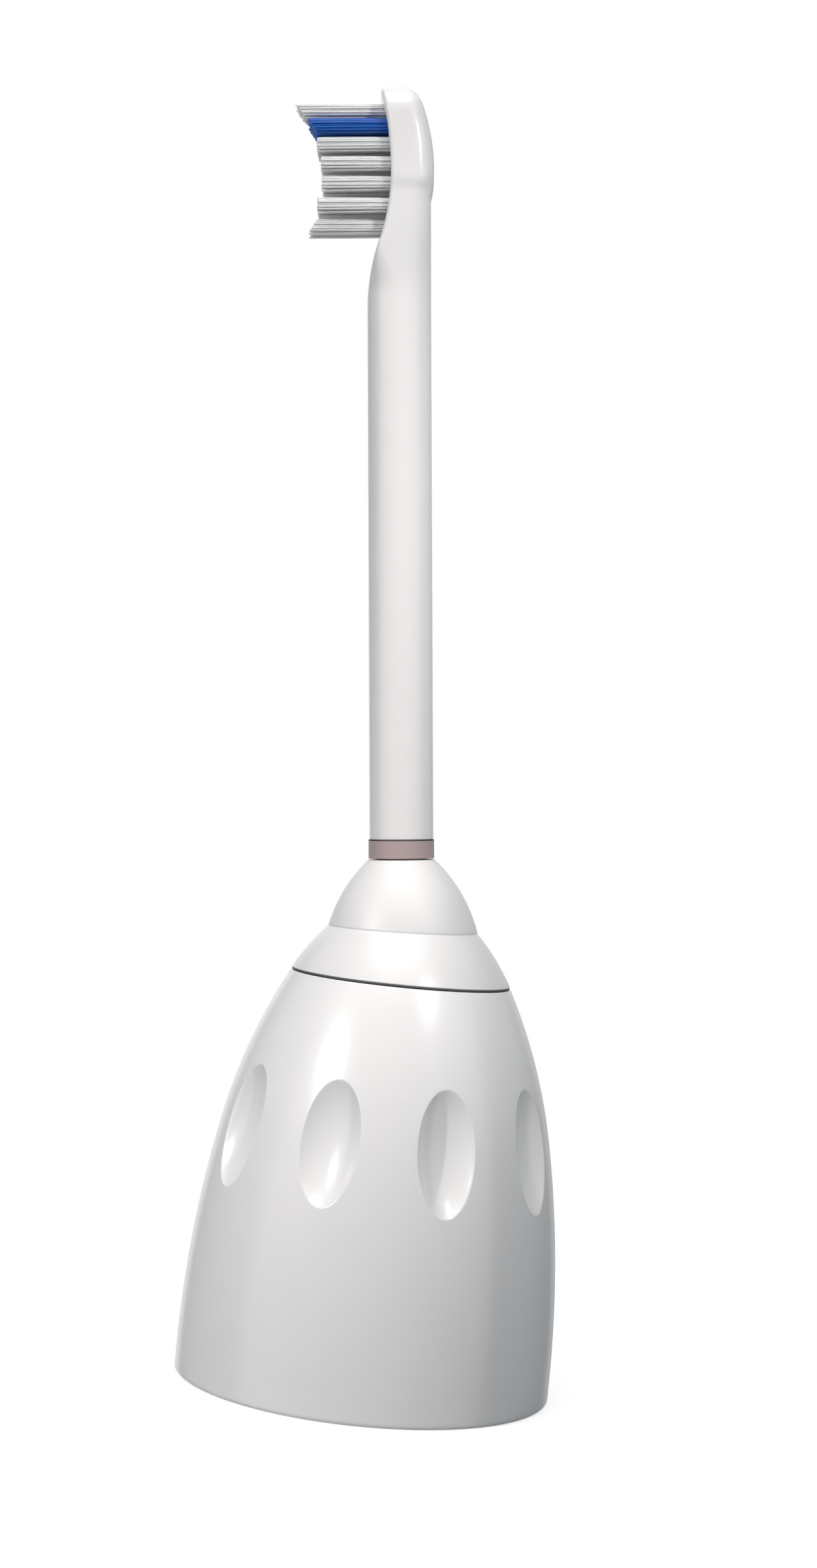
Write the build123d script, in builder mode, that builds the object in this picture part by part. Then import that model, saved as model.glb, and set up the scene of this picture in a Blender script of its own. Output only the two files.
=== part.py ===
from build123d import *
import os
from math import atan2, copysign, cos, hypot, radians, sin, sqrt, tan

# Screw-on sonic toothbrush head, in millimetres.
# A bell-shaped nut holds the head on its handle and turns freely round a fixed cup.
# Inside the cup a magnet yoke swings on a thin pin, and the brush arm stands in the yoke.
# Frame: +Z up the axis of the nut, origin at the middle of its bottom rim, bristles towards -X.

# Grip nut: an upright foot, then two arcs that meet at the waist
nut_base_radius = 15.0
nut_foot_height = 2.06
nut_waist_height = 20.59
nut_waist_radius = 13.12
nut_height = 32.41
nut_top_radius = 8.85
nut_wall = 2.4
nut_rim_round = 0.3
nut_top_round = 0.08
thread_bore_radius = 12.4
thread_bore_depth = 12.0
thread_lead_in = 0.5

# Oval finger dimples round the waist of the nut
dimple_count = 9
dimple_start = 11.3
dimple_half_length = 4.87
dimple_half_width = 2.35
dimple_depth = 1.24

# Mounting cup, which the nut turns on, the collar that closes it and a thin washer in the seam
nut_running_gap = 0.25
cup_wall = 1.5
cup_skirt_wall = 1.0
cup_face_gap = 1.0
spigot_step = 0.3
spigot_height = 1.8
seam_gap = 0.18
washer_gap = 0.08
washer_inset = 0.04
collar_edge_inset = 0.05
collar_top_radius = 4.75
collar_height = 4.97
collar_lean = 28.8
collar_top_land = 0.6

# Brush arm: leans towards the bristles from a point on the nut's axis
bend_rise = 0.85
arm_lean = 5.9
arm_length = 70.45
neck_radius = 2.57
shank_radius = 1.9
shank_depth = 4.4

# Soft seal boot over the collar, and the coloured ring above it
boot_base_radius = 6.42
boot_top_radius = 2.66
boot_height = 8.75
boot_skirt_start = 1.2
boot_wall = 0.9
boot_lip = 1.1
boot_gap = 0.18
ring_gap = 0.1
ring_height = 1.43
ring_proud = 0.07
ring_edge = 0.04
shoulder_edge = 0.04

# Brush head: drops are measured down the arm from the top of the head, reaches from the arm's axis
head_half_width = 3.2
head_length = 8.15
head_top_corner = 2.4
head_low_corner = 1.1
head_front_round = 0.4
head_back_round = 1.0
crest_drop = 6.75
crest_depth = 2.84
back_top_depth = 1.36
heel_depth = 2.5
stalk_half_width = 3.08
stalk_drop = 16.49
stalk_start_inset = 0.25
stalk_depth = 2.5
stalk_full_drop = 8.89
stalk_front_round = 0.9
stalk_back_round = 2.2
scoop_joint_drop = 12.59
scoop_joint_reach = 1.64
scoop_run_out = 0.05
platform_low_drop = 6.95
platform_low_reach = 0.6
platform_top_reach = 1.49

# Bristle tufts: drop below the head's top, reach of the tips at the lower and upper edge, columns
tuft_rows = [
    (1.81, 7.45, 8.23, 2),
    (3.17, 6.50, 7.27, 3),
    (4.63, 6.47, 6.47, 3),
    (6.17, 6.17, 6.17, 3),
    (7.76, 6.11, 6.11, 3),
    (9.48, 6.47, 6.47, 3),
    (11.03, 7.25, 6.50, 2),
]
tuft_pitch = 1.6
tuft_radius = 0.6
tuft_gap = 0.03
tuft_set_depth = 2.0
filament_count = 14
filament_radius = 0.12
filament_sides = 6
anchor_width = 0.9
anchor_thickness = 0.25
anchor_height = 0.9

# Drive train, stacked upwards from the face of the cup
magnet_recess = 0.2
magnet_width = 6.0
magnet_thickness = 1.8
magnet_split = 0.6
magnet_edge = 0.3
iron_margin = 0.25
iron_wall_gap = 1.2
iron_thickness = 1.4
iron_gap = 0.5
carrier_thickness = 3.5
carrier_ring_wall = 1.2
carrier_bar_width = 4.0
boss_radius = 2.5
boss_height = 3.0
yoke_gap = 0.6
yoke_beam_thickness = 3.0
yoke_leg_thickness = 2.6
yoke_half_width = 2.8
yoke_corner = 0.6
yoke_wall_gap = 0.4
yoke_post_radius = 4.0
yoke_post_rise = 0.4
peg_radius = 0.8
pin_radius = 0.6
pin_running_gap = 0.03
pin_floor = 0.5
pin_reach = 1.0
pin_edge = 0.15
spring_thickness = 0.25
spring_spread = 40.0
spring_apex = 1.4
spring_leaf = 0.9
spring_floor = 1.5
spring_reach = 2.4
spring_swing_gap = 0.3

# Form of the bell: slope from upright and radius of each arc
waist_lean = 2 * atan2(nut_base_radius - nut_waist_radius, nut_waist_height - nut_foot_height)
lower_chord = hypot(nut_base_radius - nut_waist_radius, nut_waist_height - nut_foot_height)
lower_curve = lower_chord / (2 * sin(waist_lean / 2))
upper_lean = atan2(nut_waist_radius - nut_top_radius, nut_height - nut_waist_height)
upper_chord = hypot(nut_waist_radius - nut_top_radius, nut_height - nut_waist_height)
upper_curve = upper_chord / (2 * sin(upper_lean - waist_lean))


def bell_radius(height):
    """Outer radius of the bell at a height."""
    if height <= nut_foot_height:
        return nut_base_radius
    if height <= nut_waist_height:
        rise = height - nut_foot_height
        return nut_base_radius - lower_curve + copysign(sqrt(lower_curve**2 - rise**2), lower_curve)
    rise = height - nut_waist_height + upper_curve * sin(waist_lean)
    centre = nut_waist_radius - upper_curve * cos(waist_lean)
    return centre + copysign(sqrt(upper_curve**2 - rise**2), upper_curve)


# Heights of the drive train, and the radii that follow from the bell
cup_outer_inset = nut_wall + nut_running_gap
cup_inner_inset = cup_outer_inset + cup_wall
cup_face = thread_bore_depth + cup_face_gap
magnet_bottom = cup_face + magnet_recess
iron_bottom = magnet_bottom + magnet_thickness
leg_bottom = iron_bottom + iron_thickness
carrier_bottom = leg_bottom + iron_gap
carrier_top = carrier_bottom + carrier_thickness
carrier_radius = bell_radius(carrier_top) - cup_outer_inset - cup_skirt_wall
iron_half_width = magnet_width / 2 + iron_margin
iron_half_length = sqrt((carrier_radius - iron_wall_gap) ** 2 - iron_half_width**2)
magnet_length = iron_half_length - iron_margin - magnet_split / 2
boss_top = carrier_top + boss_height
beam_bottom = boss_top + yoke_gap
beam_top = beam_bottom + yoke_beam_thickness
yoke_reach = bell_radius(beam_top) - cup_inner_inset - yoke_wall_gap
yoke_half_length = sqrt(yoke_reach**2 - yoke_half_width**2)
leg_offset = yoke_half_length - yoke_leg_thickness / 2
post_top = nut_height + yoke_post_rise
pin_bottom = carrier_bottom + pin_floor
pin_top = beam_top + pin_reach
spring_bottom = carrier_bottom + spring_floor
spring_top = beam_bottom + spring_reach
spigot_radius = nut_top_radius - cup_outer_inset - spigot_step
spigot_bore = nut_top_radius - cup_inner_inset
spigot_top = nut_height + spigot_height
collar_bottom = nut_height + seam_gap
collar_top = collar_bottom + collar_height
collar_base_radius = nut_top_radius - collar_edge_inset

# Heights along the arm
ring_bottom = boot_height + ring_gap
shoulder = ring_bottom + ring_height + ring_gap
hole_floor = platform_low_reach - tuft_set_depth
hole_radius = tuft_radius + tuft_gap

# Planes of the leaning arm: along it, towards the bristles, and across it
arm_up = Vector(-sin(radians(arm_lean)), 0, cos(radians(arm_lean)))
arm_front = Vector(-cos(radians(arm_lean)), 0, -sin(radians(arm_lean)))
bend = Vector(0, 0, nut_height + bend_rise)
arm_axis = Axis(bend, arm_up)
arm_side = Plane(bend, x_dir=arm_front, z_dir=(0, 1, 0))


def arm_at(height):
    """Plane square to the arm at a height along it, with x towards the bristles."""
    return Plane(bend + arm_up * height, x_dir=arm_front, z_dir=arm_up)


def head_front_at(reach, height):
    """Plane that faces the bristles, with x across the arm and y up it."""
    return Plane(bend + arm_up * height + arm_front * reach, x_dir=(0, -1, 0), z_dir=arm_front)


def bell_section(inset, bottom, top):
    """Half section of the bell, moved inwards by inset and kept between two heights."""
    with BuildSketch(Plane.XZ) as section:
        with BuildLine():
            foot = Line((nut_base_radius - inset, 0), (nut_base_radius - inset, nut_foot_height))
            waist = (nut_waist_radius - inset, nut_waist_height)
            lower = TangentArc(foot @ 1, waist, tangent=foot % 1)
            upper = TangentArc(waist, (nut_top_radius - inset, nut_height), tangent=lower % 1)
            Polyline(upper @ 1, (0, nut_height), (0, 0), foot @ 0)
        make_face()
        with Locations((0, bottom)):
            span = (2 * nut_base_radius, top - bottom)
            Rectangle(*span, align=(Align.CENTER, Align.MIN), mode=Mode.INTERSECT)
    return section.sketch


def dome_section(inset, top):
    """Half section of the boot's dome about the arm, moved inwards by inset and cut off at a height."""
    width = boot_base_radius - boot_top_radius
    curve = (width**2 + boot_height**2) / (2 * width)
    top_radius = boot_base_radius - curve + sqrt((curve - inset) ** 2 - top**2)
    with BuildSketch(arm_side) as section:
        with BuildLine():
            side = TangentArc((boot_base_radius - inset, 0), (top_radius, top), tangent=(0, 1))
            Polyline(side @ 1, (0, top), (0, 0), side @ 0)
        make_face()
        with Locations((0, boot_skirt_start)):
            span = (2 * boot_base_radius, boot_height)
            Rectangle(*span, align=(Align.CENTER, Align.MIN), mode=Mode.INTERSECT)
    return section.sketch


def stalk_section(height, half_width, front_round, back_round):
    """Section of the arm where the round neck widens into the head."""
    with BuildSketch(arm_at(height)) as section:
        with Locations((-stalk_depth, 0)):
            Rectangle(2 * neck_radius, 2 * half_width, align=(Align.MIN, Align.CENTER))
        fillet(section.vertices().group_by(Axis.X)[-1], front_round)
        fillet(section.vertices().group_by(Axis.X)[0], back_round)
    return section.sketch


def column_places(count):
    """Places of the tufts of one row, spread evenly across the head."""
    return [(tuft_pitch * (index - (count - 1) / 2), 0) for index in range(count)]


def spring_section(height, growth):
    """Section of the V-shaped leaf spring, wider by growth on every side."""
    with BuildSketch(Plane.XY.offset(height)) as section:
        for turn in (spring_spread, -spring_spread):
            with Locations(Location((spring_apex, 0), turn)):
                leaf = (spring_leaf + 2 * growth, spring_thickness + 2 * growth)
                with Locations((-growth, 0)):
                    Rectangle(*leaf, align=(Align.MIN, Align.CENTER))
    return section.sketch


# Cutter for one dimple: an egg shape that meets the bell in an oval of the named size
waist_out = Vector(cos(waist_lean), 0, sin(waist_lean))
waist_up = Vector(-sin(waist_lean), 0, cos(waist_lean))
width_squared = dimple_half_width**2
dimple_lift = (width_squared + width_squared**2 / (2 * nut_waist_radius) ** 2 - dimple_depth**2) / (
    2 * dimple_depth - width_squared / nut_waist_radius
)
dimple_minor = dimple_depth + dimple_lift
end_sag = dimple_half_length**2 * (1 / lower_curve + 1 / upper_curve) / 4
dimple_major = dimple_half_length / sqrt(1 - ((dimple_lift + end_sag) / dimple_minor) ** 2)
dimple_centre = Vector(nut_waist_radius, 0, nut_waist_height) + waist_out * dimple_lift

with BuildPart() as dimple_cutter:
    with BuildSketch(Plane(dimple_centre, x_dir=waist_up, z_dir=(0, 1, 0))):
        Ellipse(dimple_major, dimple_minor)
        half = (2 * dimple_major, dimple_minor)
        Rectangle(*half, align=(Align.CENTER, Align.MIN), mode=Mode.INTERSECT)
    revolve(axis=Axis(dimple_centre, waist_up))

# Grip nut: hollow bell with a thread bore below and a ring of dimples
with BuildPart() as grip_nut:
    revolve(bell_section(0, 0, nut_height), Axis.Z)
    revolve(bell_section(nut_wall, thread_bore_depth, nut_height), Axis.Z, mode=Mode.SUBTRACT)
    bore_align = (Align.CENTER, Align.CENTER, Align.MIN)
    Cylinder(thread_bore_radius, thread_bore_depth, align=bore_align, mode=Mode.SUBTRACT)
    rim_edges = grip_nut.edges().group_by(Axis.Z)[0].sort_by(SortBy.RADIUS)
    fillet(rim_edges[-1], nut_rim_round)
    rim_edges = grip_nut.edges().group_by(Axis.Z)[0].sort_by(SortBy.RADIUS)
    chamfer(rim_edges[0], thread_lead_in)
    top_edges = grip_nut.edges().group_by(Axis.Z)[-1].sort_by(SortBy.RADIUS)
    fillet(top_edges[-1], nut_top_round)
    with PolarLocations(0, dimple_count, dimple_start):
        add(dimple_cutter.part, mode=Mode.SUBTRACT)

# Mounting cup: bell inside the nut, with a bore for the carrier and a spigot for the collar
with BuildPart() as mounting_cup:
    revolve(bell_section(cup_outer_inset, cup_face, nut_height), Axis.Z)
    with Locations((0, 0, nut_height)):
        Cylinder(spigot_radius, spigot_height, align=bore_align)
        Cylinder(spigot_bore, spigot_height, align=bore_align, mode=Mode.SUBTRACT)
    revolve(bell_section(cup_inner_inset, carrier_top, nut_height), Axis.Z, mode=Mode.SUBTRACT)
    with Locations((0, 0, cup_face)):
        Cylinder(carrier_radius, carrier_top - cup_face, align=bore_align, mode=Mode.SUBTRACT)

# Collar cap: the full cone first, because the boot is cut to sit on it
with BuildPart() as collar_cone:
    with BuildSketch(Plane.XZ):
        with BuildLine():
            cone_start = (collar_base_radius, collar_bottom)
            cone_end = (collar_top_radius, collar_top)
            lean = (-sin(radians(collar_lean)), cos(radians(collar_lean)))
            TangentArc(cone_start, cone_end, tangent=lean)
            Polyline(cone_end, (0, collar_top), (0, collar_bottom), cone_start)
        make_face()
    revolve(axis=Axis.Z)

with BuildPart() as collar_cap:
    add(collar_cone.part)
    with Locations((0, 0, collar_bottom)):
        socket_height = spigot_top - collar_bottom
        Cylinder(spigot_radius, socket_height, align=bore_align, mode=Mode.SUBTRACT)
    with Locations((0, 0, spigot_top)):
        throat = (collar_top_radius - collar_top_land, collar_top - spigot_top)
        Cylinder(*throat, align=bore_align, mode=Mode.SUBTRACT)

# Thrust washer: thin ring under the collar, which the top of the nut turns against
with BuildPart() as thrust_washer:
    with BuildSketch(Plane.XY.offset(nut_height + washer_gap)):
        Circle(collar_base_radius - washer_inset)
        Circle(spigot_radius, mode=Mode.SUBTRACT)
    extrude(amount=seam_gap - washer_gap)

# Seal boot: a leaning dome whose skirt lies on the collar and whose lip stands round the shank
with BuildPart() as seal_boot:
    revolve(dome_section(0, boot_height), arm_axis)
    revolve(dome_section(boot_wall, boot_height - boot_lip), arm_axis, mode=Mode.SUBTRACT)
    with BuildSketch(arm_at(0)):
        Circle(shank_radius + boot_gap)
    extrude(amount=boot_height, mode=Mode.SUBTRACT)
    add(collar_cone.part, mode=Mode.SUBTRACT)

# Coloured ring on the shank, under the shoulder of the neck
with BuildPart() as id_ring:
    with BuildSketch(arm_at(ring_bottom)):
        Circle(neck_radius + ring_proud)
        Circle(shank_radius, mode=Mode.SUBTRACT)
    extrude(amount=ring_height)
    outer_edges = id_ring.edges().filter_by(GeomType.CIRCLE).group_by(SortBy.RADIUS)[-1]
    chamfer(outer_edges, ring_edge)

# Space in front of the arm: three arcs run out of the neck, down to the platform and up to its top
joint_fall = scoop_joint_drop - platform_low_drop
joint_turn = 2 * atan2(scoop_joint_reach - platform_low_reach, joint_fall)
run_out_reach = neck_radius + scoop_run_out
run_out_drop = scoop_joint_drop + (run_out_reach - scoop_joint_reach) / tan(joint_turn / 2)

with BuildPart() as scoop:
    with BuildSketch(arm_side):
        with BuildLine():
            lowest = (platform_low_reach, arm_length - platform_low_drop)
            joint = (scoop_joint_reach, arm_length - scoop_joint_drop)
            upper_arc = TangentArc(lowest, (platform_top_reach, arm_length), tangent=(0, 1))
            lower_arc = TangentArc(lowest, joint, tangent=(0, -1))
            run_out = TangentArc(joint, (run_out_reach, arm_length - run_out_drop), tangent=lower_arc % 1)
            tip = upper_arc @ 1 + (upper_arc % 1) * head_front_round
            Line(upper_arc @ 1, tip)
            clear = 2 * neck_radius
            Polyline(tip, (clear, tip.Y), (clear, arm_length - run_out_drop), run_out @ 1)
        make_face()
    extrude(amount=2 * head_half_width, both=True)

# Head: a rounded slab, trimmed by the platform in front and by a crowned back, with rounded rims
with BuildPart() as head_slab:
    with BuildSketch(head_front_at(0, arm_length)) as outline:
        Rectangle(2 * head_half_width, head_length, align=(Align.CENTER, Align.MAX))
        fillet(outline.vertices().group_by(Axis.Y)[-1], head_top_corner)
        fillet(outline.vertices().group_by(Axis.Y)[0], head_low_corner)
    extrude(amount=2 * neck_radius, both=True)
    with BuildSketch(arm_side):
        with BuildLine():
            heel = (-heel_depth, arm_length - stalk_full_drop)
            crest = (-crest_depth, arm_length - crest_drop)
            TangentArc(crest, heel, tangent=(0, -1))
            crown = TangentArc(crest, (-back_top_depth, arm_length), tangent=(0, 1))
            crown_tip = crown @ 1 + (crown % 1) * head_back_round
            Line(crown @ 1, crown_tip)
            Polyline(crown_tip, (clear, crown_tip.Y), (clear, heel[1]), heel)
        make_face()
    extrude(amount=2 * head_half_width, both=True, mode=Mode.INTERSECT)
    add(scoop.part, mode=Mode.SUBTRACT)
    reach_axis = Axis(bend, arm_front)
    upper_platform = head_slab.faces().sort_by(reach_axis)[-1]
    fillet(upper_platform.edges(), head_front_round)
    back_faces = head_slab.faces().sort_by(reach_axis)[:2]
    fillet(back_faces.edges(), head_back_round)

# Brush arm: shank, round neck, widening stalk and head in one moulding, with blind tuft holes
with BuildPart() as brush_arm:
    with BuildSketch(arm_at(shoulder)):
        Circle(neck_radius)
    stalk_top = arm_length - head_length + head_low_corner
    extrude(amount=stalk_top - shoulder)
    shoulder_rim = brush_arm.edges().filter_by(GeomType.CIRCLE).sort_by(arm_axis)[0]
    chamfer(shoulder_rim, shoulder_edge)
    with BuildSketch(arm_at(-shank_depth)):
        Circle(shank_radius)
    extrude(amount=shank_depth + shoulder)
    with BuildSketch(arm_at(arm_length - stalk_drop)) as neck_end:
        Circle(neck_radius - stalk_start_inset)
    stalk_form = (stalk_half_width, stalk_front_round, stalk_back_round)
    stalk_low = stalk_section(arm_length - stalk_full_drop, *stalk_form)
    stalk_high = stalk_section(stalk_top, *stalk_form)
    loft([neck_end.sketch, stalk_low, stalk_high])
    add(scoop.part, mode=Mode.SUBTRACT)
    add(head_slab.part)
    for drop, low_reach, high_reach, columns in tuft_rows:
        with BuildSketch(head_front_at(hole_floor, arm_length - drop)):
            with Locations(*column_places(columns)):
                Circle(hole_radius)
        extrude(amount=clear - hole_floor, mode=Mode.SUBTRACT)

# Tufts: bundles of filaments that stand in the holes, each folded round a small flat anchor
with BuildSketch() as tuft_outline:
    Circle(tuft_radius - filament_radius)
    with PolarLocations(tuft_radius - filament_radius, filament_count):
        RegularPolygon(filament_radius, filament_sides)

tufts = []
for number, (drop, low_reach, high_reach, columns) in enumerate(tuft_rows, start=1):
    row_height = arm_length - drop
    tip_slope = (high_reach - low_reach) / (2 * tuft_radius)
    tip_middle = bend + arm_up * row_height + arm_front * (low_reach + high_reach) / 2
    tip_plane = Plane(tip_middle, x_dir=(0, 1, 0), z_dir=arm_front - arm_up * tip_slope)
    with BuildPart() as tuft_row:
        with BuildSketch(head_front_at(hole_floor, row_height)):
            with Locations(*column_places(columns)):
                add(tuft_outline.sketch)
        extrude(amount=max(low_reach, high_reach) - hole_floor)
        split(bisect_by=tip_plane, keep=Keep.BOTTOM)
        with BuildSketch(head_front_at(hole_floor, row_height)):
            with Locations(*column_places(columns)):
                Rectangle(anchor_width, anchor_thickness)
        extrude(amount=anchor_height, mode=Mode.SUBTRACT)
    tuft_row.part.label = f"tuft_row_{number}"
    tufts.append(tuft_row.part)

with BuildPart() as tuft_anchors:
    for drop, low_reach, high_reach, columns in tuft_rows:
        with BuildSketch(head_front_at(hole_floor, arm_length - drop)):
            with Locations(*column_places(columns)):
                Rectangle(anchor_width, anchor_thickness)
        extrude(amount=anchor_height)

# Hub carrier: ring in the cup's bore, a bar across it and a boss that holds the pin and the spring
with BuildPart() as hub_carrier:
    with BuildSketch(Plane.XY.offset(carrier_bottom)):
        Circle(carrier_radius)
        Circle(carrier_radius - carrier_ring_wall, mode=Mode.SUBTRACT)
        Rectangle(2 * carrier_radius - carrier_ring_wall, carrier_bar_width)
    extrude(amount=carrier_thickness)
    with BuildSketch(Plane.XY.offset(carrier_bottom)):
        Circle(boss_radius)
    extrude(amount=carrier_thickness + boss_height)
    with BuildSketch(Plane.XY.offset(pin_bottom)):
        Circle(pin_radius)
    extrude(amount=boss_top - pin_bottom, mode=Mode.SUBTRACT)
    extrude(spring_section(spring_bottom, 0), amount=boss_top - spring_bottom, mode=Mode.SUBTRACT)

# Torsion pin, pressed into the boss, with the yoke turning on its upper end
with BuildPart() as torsion_pin:
    with BuildSketch(Plane.XY.offset(pin_bottom)):
        Circle(pin_radius)
    extrude(amount=pin_top - pin_bottom)
    chamfer(torsion_pin.edges().filter_by(GeomType.CIRCLE), pin_edge)

# V-shaped leaf spring beside the pin, held in the boss and reaching up into the yoke
with BuildPart() as v_spring:
    extrude(spring_section(spring_bottom, 0), amount=spring_top - spring_bottom)

# Drive yoke: two legs that straddle the carrier's bar, a beam and a post for the shank
with BuildPart() as drive_yoke:
    with BuildSketch(Plane.XY.offset(leg_bottom)) as footprint:
        Rectangle(2 * yoke_half_width, 2 * yoke_half_length)
        fillet(footprint.vertices(), yoke_corner)
    extrude(amount=beam_top - leg_bottom)
    with BuildSketch(Plane.XY.offset(leg_bottom)):
        Rectangle(4 * yoke_half_width, 2 * (yoke_half_length - yoke_leg_thickness))
    extrude(amount=beam_bottom - leg_bottom, mode=Mode.SUBTRACT)
    with BuildSketch(Plane.XY.offset(beam_top)):
        Circle(yoke_post_radius)
    extrude(amount=post_top - beam_top)
    with BuildSketch(Plane.XY.offset(iron_bottom)):
        with Locations((0, leg_offset), (0, -leg_offset)):
            Circle(peg_radius)
    extrude(amount=iron_thickness)
    with BuildSketch(arm_at(-shank_depth)):
        Circle(shank_radius)
    extrude(amount=shank_depth + yoke_post_radius, mode=Mode.SUBTRACT)
    with BuildSketch(Plane.XY.offset(beam_bottom)):
        Circle(pin_radius + pin_running_gap)
    extrude(amount=pin_top + pin_running_gap - beam_bottom, mode=Mode.SUBTRACT)
    spring_slot = spring_section(beam_bottom, spring_swing_gap)
    extrude(spring_slot, amount=spring_reach + spring_swing_gap, mode=Mode.SUBTRACT)

# Back iron under the legs, riveted on by their pegs, and the two magnets under it
with BuildPart() as back_iron:
    with BuildSketch(Plane.XY.offset(iron_bottom)):
        Rectangle(2 * iron_half_width, 2 * iron_half_length)
        with Locations((0, leg_offset), (0, -leg_offset)):
            Circle(peg_radius, mode=Mode.SUBTRACT)
    extrude(amount=iron_thickness)

magnets = []
for name, side in (("magnet_left", 1), ("magnet_right", -1)):
    with BuildPart() as magnet:
        with BuildSketch(Plane.XY.offset(magnet_bottom)):
            with Locations((0, side * (magnet_split + magnet_length) / 2)):
                Rectangle(magnet_width, magnet_length)
        extrude(amount=magnet_thickness)
        chamfer(magnet.edges().group_by(Axis.Z)[0], magnet_edge)
    magnet.part.label = name
    magnets.append(magnet.part)

# One file for each piece
grip_nut.part.label = "grip_nut"
mounting_cup.part.label = "mounting_cup"
collar_cap.part.label = "collar_cap"
thrust_washer.part.label = "thrust_washer"
seal_boot.part.label = "seal_boot"
id_ring.part.label = "id_ring"
brush_arm.part.label = "brush_arm"
tuft_anchors.part.label = "tuft_anchors"
hub_carrier.part.label = "hub_carrier"
torsion_pin.part.label = "torsion_pin"
v_spring.part.label = "v_spring"
drive_yoke.part.label = "drive_yoke"
back_iron.part.label = "back_iron"
casing = [grip_nut.part, mounting_cup.part, collar_cap.part, thrust_washer.part, seal_boot.part]
arm = [id_ring.part, brush_arm.part, tuft_anchors.part]
drive = [hub_carrier.part, torsion_pin.part, v_spring.part, drive_yoke.part, back_iron.part]

os.makedirs("parts", exist_ok=True)
for piece in casing + arm + drive + tufts + magnets:
    export_step(piece, f"parts/{piece.label}.step")
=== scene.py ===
"""Looks of a screw-on sonic toothbrush head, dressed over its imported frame.

Sizes are in millimetres and become metres when a mesh is made. Lamps and cards are placed in metres.
Frame: +Z up the axis of the nut from the middle of its bottom rim, bristles towards -X.
"""

import logging
import math
from collections.abc import Callable, Sequence
from dataclasses import dataclass, field, replace
from enum import Enum
from functools import cached_property
from typing import Any

import bmesh
import bpy
import numpy as np
from mathutils import Matrix, Vector

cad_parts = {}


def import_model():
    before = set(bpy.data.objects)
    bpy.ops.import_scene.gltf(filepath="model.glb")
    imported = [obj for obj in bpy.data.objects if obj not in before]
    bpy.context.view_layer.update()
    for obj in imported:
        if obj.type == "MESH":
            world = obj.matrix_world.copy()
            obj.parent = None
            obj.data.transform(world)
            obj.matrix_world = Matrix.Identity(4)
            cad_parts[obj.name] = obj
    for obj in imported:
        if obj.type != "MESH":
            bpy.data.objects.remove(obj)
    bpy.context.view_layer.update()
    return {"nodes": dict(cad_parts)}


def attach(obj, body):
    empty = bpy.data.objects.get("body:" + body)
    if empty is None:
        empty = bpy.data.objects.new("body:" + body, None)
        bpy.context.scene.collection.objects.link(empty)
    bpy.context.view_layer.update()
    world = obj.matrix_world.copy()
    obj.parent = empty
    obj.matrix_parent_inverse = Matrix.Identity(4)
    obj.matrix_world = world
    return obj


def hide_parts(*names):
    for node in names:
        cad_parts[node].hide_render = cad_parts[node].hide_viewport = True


MM = 0.001
SMOOTH_BELOW = math.radians(40)
MERGE_DISTANCE = 2e-7
HALVINGS = 40
LOG = logging.getLogger("brush_head")

Colour = tuple[float, float, float]
Triple = tuple[float, float, float]


class Body(Enum):
    """Moving bodies of the brush head."""

    CORE = "core"
    NUT = "nut"
    BRUSH = "brush"


class Wire:
    """One output of a node, usable in sums and products."""

    def __init__(self, graph: "Graph", socket: bpy.types.NodeSocket) -> None:
        """Keeps the socket with the graph that it belongs to."""
        self.graph = graph
        self.socket = socket

    def __add__(self, other: Any) -> "Wire":
        """Sum."""
        return self.graph.math("ADD", self, other)

    def __radd__(self, other: Any) -> "Wire":
        """Sum, with the wire on the right."""
        return self.graph.math("ADD", other, self)

    def __sub__(self, other: Any) -> "Wire":
        """Difference."""
        return self.graph.math("SUBTRACT", self, other)

    def __rsub__(self, other: Any) -> "Wire":
        """Difference, with the wire on the right."""
        return self.graph.math("SUBTRACT", other, self)

    def __mul__(self, other: Any) -> "Wire":
        """Product."""
        return self.graph.math("MULTIPLY", self, other)

    def __rmul__(self, other: Any) -> "Wire":
        """Product, with the wire on the right."""
        return self.graph.math("MULTIPLY", other, self)

    def __truediv__(self, other: Any) -> "Wire":
        """Quotient."""
        return self.graph.math("DIVIDE", self, other)

    def __pow__(self, other: Any) -> "Wire":
        """Power."""
        return self.graph.math("POWER", self, other)

    def __gt__(self, other: Any) -> "Wire":
        """One where the wire is greater, else zero."""
        return self.graph.math("GREATER_THAN", self, other)

    def at_least(self, other: Any) -> "Wire":
        """The greater of two values."""
        return self.graph.math("MAXIMUM", self, other)

    def at_most(self, other: Any) -> "Wire":
        """The smaller of two values."""
        return self.graph.math("MINIMUM", self, other)


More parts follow.
